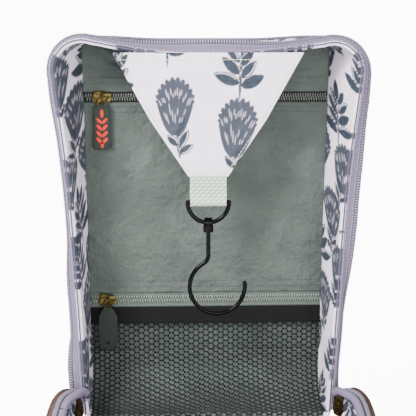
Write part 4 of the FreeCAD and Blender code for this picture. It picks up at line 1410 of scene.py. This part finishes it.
def main_slider(side, sign):
    """Heavy brass clasp round both main tapes, its cheek outside the teeth, with a lug for its pull."""
    node = f"{side}_main_slider"
    slide = np.array(joint(f"{side}_zip_slide")["axis"])
    pivot = np.array(joint(f"{side}_pull_swing")["pos_m"]) / MM
    out = np.array((slide[2], 0.0, -slide[0])) * sign
    toward = np.array((0.0, -1.0, 0.0))
    low, high = corner(node, 0), corner(node, 1)
    middle = pivot.copy()
    middle[2] = (low.z + high.z) / 2
    here = np.stack([slide, out, toward, middle], axis=1)
    half_length, half_depth, cheek = (high.z - low.z) / 2, (high.y - low.y) / 2, -0.95
    plate = rounded_rectangle(half_length, cheek - 12.8, cheek - 0.4, 4.2)
    wall = rounded_rectangle(half_length, cheek - 3.6, cheek, 1.7)
    lug_at = (pivot[2] - middle[2], cheek, 0.0)
    parts = merged(
        prism(plate, -half_depth, -half_depth + 1.2),
        prism(plate, half_depth - 1.2, half_depth),
        prism(wall, -half_depth + 0.2, half_depth - 0.2),
        ring_arc(2.4, 0.62, 0, math.pi, (0, 1), lug_at, steps=16),
    )
    points, faces = placed(parts, here)
    # the clasp's darker brass copy is painted shade
    item = outward(mesh_piece(f"{side}_clasp", points, faces, "clasp", smooth_faces=False))
    add_modifier_bevel(item, 0.55, 3)
    finish_piece(item, f"{side}_slider", "brass", node)
    tag_frame = np.stack([toward * sign, slide, out, pivot], axis=1)
    tag_piece(side, tag_frame, "rubber", stadium=True)


def bend_with_fold(item):
    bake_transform(item)


def bending(name, material, xs, path, thick, node=None):
    """A cloth strip that follows a path of (y, z) points across the fold."""
    path = np.asarray(path, float)
    run = run_along(path)
    ahead = np.gradient(path, axis=0)
    side = np.stack([-ahead[:, 1], ahead[:, 0]], axis=1)
    side /= np.linalg.norm(side, axis=1, keepdims=True)

    def point(x, t, h):
        y = np.interp(t, run, path[:, 0]) + h * np.interp(t, run, side[:, 0])
        z = np.interp(t, run, path[:, 1]) + h * np.interp(t, run, side[:, 1])
        return np.stack(np.broadcast_arrays(x, y, z), axis=-1)

    item = slab(name, material, point, xs, np.linspace(0, run[-1], 40), thick / 2, -thick / 2,
                ink=lambda x, t: 0 * x)
    bend_with_fold(item)
    if node:
        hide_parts(node)
    return item


def fold_cloths():
    """The spine between the trays, and the joined ends of the main zip at both sides."""
    turns = np.linspace(0, math.pi / 2, 14)
    reach = 9.0
    base_y, lid_z = FOLD.y - FOLD_EDGE + 0.3, FOLD.z + FOLD_EDGE - 0.3
    spine = [(base_y, FOLD.z - RIM_GAP - 9)]
    spine += [(base_y + 2 * (1 - math.cos(t)), FOLD.z - RIM_GAP + 3.0 * math.sin(t)) for t in turns]
    spine += [(base_y + 3.4, FOLD.z + 0.4), (FOLD.y + RIM_GAP + 2.2, lid_z - 0.3),
              (FOLD.y + RIM_GAP + reach, lid_z)]
    half = NEAR_HALF["rim"] - FOLD_CORNER
    bending("spine_cloth", "print", np.linspace(-half, half, 60), spine, 0.8,
            node="hinge_web")
    for side, sign in (("left", -1), ("right", 1)):
        puckered_corner(side, sign)


def curve(knots, count):
    """A smooth curve through a few places (Catmull-Rom), as count points."""
    knots = np.asarray(knots, float)
    padded = np.vstack([2 * knots[0] - knots[1], knots, 2 * knots[-1] - knots[-2]])
    t = np.linspace(0, len(knots) - 1, count)
    k = np.minimum(t.astype(int), len(knots) - 2)
    t = (t - k)[:, None]
    a, b, c, d = (padded[k + n] for n in range(4))
    return 0.5 * (2 * b + (c - a) * t + (2 * a - 5 * b + 4 * c - d) * t ** 2
                  + (3 * b - a - 3 * c + d) * t ** 3)


def puckered_corner(side, sign):
    """Where the zip stays joined, the base's wall is drawn up to the clasp and puckers outward."""
    base_start = FOLD.y - corner("base_zip_tape", 1).y
    level = FOLD.z - RIM_GAP
    clasp = (corner(f"{side}_main_slider", 0), corner(f"{side}_main_slider", 1))
    near, front = NEAR_HALF["rim"], clasp[0].y
    top = clasp[1].z - {"left": 1.0, "right": 3.0}[side]
    spread = {"left": 0.0, "right": 3.0}[side]
    edge = curve([
        (near + spread + 2, front + 3, top + 1.5), (near + spread + 7, front - 3, top + 4.5),
        (near + spread + 13, front - 9, top + 2), (near + spread + 17, front - 16, top - 8),
        (near + spread + 17, front - 24, level + 8), (near + 11, FOLD.y - base_start - 10, level + 2),
    ], 70)
    edge[:, 0] *= sign
    foot = curve([
        (near + 1, front + 4, level + 4), (near + 0.5, front - 2, level), (near + 0.5, front - 10, level - 1),
        (near + 1, front - 18, level - 2), (near + 1.5, FOLD.y - base_start - 3, level - 2),
        (near + 2, FOLD.y - base_start - 12, level - 2),
    ], 70)
    foot[:, 0] *= sign
    run = run_along(edge)
    drop = np.linspace(0, 1, 26)
    outside = np.array((sign, -0.35, 0.2))

    def point(t, v, h):
        upper, lower = places_at(t, run, edge), places_at(t, run, foot)
        share = v[..., None]
        puff = np.sin(math.pi * v) * (4 + 1.2 * noise(t, 30 * v, 9, 83)) + h
        return upper * (1 - share) + lower * share + puff[..., None] * outside

    marks = [(protea, run[-1] * 0.55, 22, 1.2, 0.9), (sprig, run[-1] * 0.2, 12, 0.4, 0.8)]
    wing = slab(f"{side}_corner_cloth", "print", point, run, drop, 0.6, -0.6,
                ink=lambda t, v: painted(t, v * 34, marks))
    scale_cloth(wing, 1, 34)
    stripe = np.array((sign * 0.55, -0.4, 0.75))
    stripe /= np.linalg.norm(stripe)
    across = np.cross(np.gradient(edge, axis=0), stripe)
    across /= np.linalg.norm(across, axis=1, keepdims=True)
    if across[len(across) // 2][0] * sign < 0:
        across = -across
    pieces = [wing]
    # the dark cord in the groove between the two tapes is painted shade where they meet
    for name, material, offset, lift, radius in (
            ("edge_binding", "leather", 4.6, -0.2, 4.1), ("outer_tape", "tape", -0.8, 1.7, 2.7),
            ("inner_tape", "tape", -6.4, 1.2, 2.7), ("gap_shade_cord", "dark_thread", -3.6, 2.9, 0.8)):
        path = edge + across * offset + stripe * lift
        pieces.append(tube(f"{side}_{name}", material, path, radius, sides=10))
    for item, slot in zip(pieces, ("print_fabric", "main_tape", "main_tape", "main_tape", "main_tape")):
        bend_with_fold(item)


def hardware():
    """The ring, swivel and hook keep their own shapes, and take a gloss black enamel."""
    for name in ("d_ring", "swivel_eye", "hook"):
        dress(name, "enamel")
    for name in ("top_pull_link", "mesh_pull_link", "left_main_pull_link", "right_main_pull_link"):
        dress(name, "brass")


def dress(name, material):
    item = frame["nodes"][name]
    for place in item.material_slots:
        place.material = MATERIALS[material]


# ---------------------------------------------------------------- stage

# how bright the backdrop looks to the camera, and the even light of the room
BACKDROP_GLOW = 11.0
ROOM_LIGHT = 1.15
# each lamp's name, place and size in metres, and power in watts
LAMPS = (("key", (-0.95, -0.85, 1.1), 0.6, 62), ("fill", (0.45, -1.5, 0.32), 1.2, 32))


def stage():
    mesh = bpy.data.meshes.new("floor")
    half, back, rise = 5.0, 1.2, 1.0
    profile = [(-half, 0.0)] + [
        (back + rise * math.sin(t), rise * (1 - math.cos(t))) for t in np.linspace(0, math.pi / 2, 24)
    ] + [(back + rise, half)]
    places = [(x, y, z) for y, z in profile for x in (-half, half)]
    faces = [(2 * k, 2 * k + 1, 2 * k + 3, 2 * k + 2) for k in range(len(profile) - 1)]
    mesh.from_pydata(places, [], faces)
    mesh.polygons.foreach_set("use_smooth", [True] * len(faces))
    floor = linked("floor", mesh)
    f = Finish("floor_paper", rough=0.9)
    paper = f.ramp(f.noise(f.place(2.0), 3.0), [(0.3, (0.93, 0.93, 0.93, 1)), (0.7, (0.95, 0.95, 0.95, 1))])
    f.colour(paper)
    f.join(paper, f.shader.inputs["Emission Color"])
    seen = f.add("ShaderNodeLightPath").outputs["Is Camera Ray"]
    f.join(f.math("MULTIPLY", seen, BACKDROP_GLOW), f.shader.inputs["Emission Strength"])
    mesh.materials.append(f.material)

    world = bpy.data.worlds.new("studio")
    world.use_nodes = True
    world.node_tree.nodes["Background"].inputs["Color"].default_value = (1, 1, 1, 1)
    world.node_tree.nodes["Background"].inputs["Strength"].default_value = ROOM_LIGHT
    bpy.context.scene.world = world
    for name, place, size, power in LAMPS:
        light = bpy.data.lights.new(name, "AREA")
        light.shape = "DISK"
        light.size = size
        light.energy = power
        lamp = linked(name, light)
        lamp.location = place
        aim = Vector((0, 0.12, 0.17)) - Vector(place)
        lamp.rotation_euler = aim.to_track_quat("-Z", "Y").to_euler()


def camera():
    view = bpy.data.cameras.new("camera")
    view.sensor_width = 36
    view.lens = 96.0
    eye = linked("camera", view)
    pitch, yaw = math.radians(10.05), math.radians(2.41)
    eye.location = (-0.0306, -0.592, 0.334)
    eye.rotation_euler = (math.pi / 2 - pitch, 0, -yaw)
    bpy.context.scene.camera = eye


camera()
stage()
for tray, seed in (("base", 100), ("lid", 200)):
    tray_walls(tray, seed)
    tray_panels(tray, seed + 20)
    tray_rim(tray, seed + 40)
pockets()
flap()
webbing()
for prefix in ("top", "mesh"):
    pocket_slider(prefix)
    tag_piece(prefix, pivot_frame(f"{prefix}_pull_swing", (1, 0, 0), (0, 0, 1)),
              "orange" if prefix == "top" else "rubber", stadium=prefix == "mesh")
main_slider("left", -1)
main_slider("right", 1)
fold_cloths()
hardware()
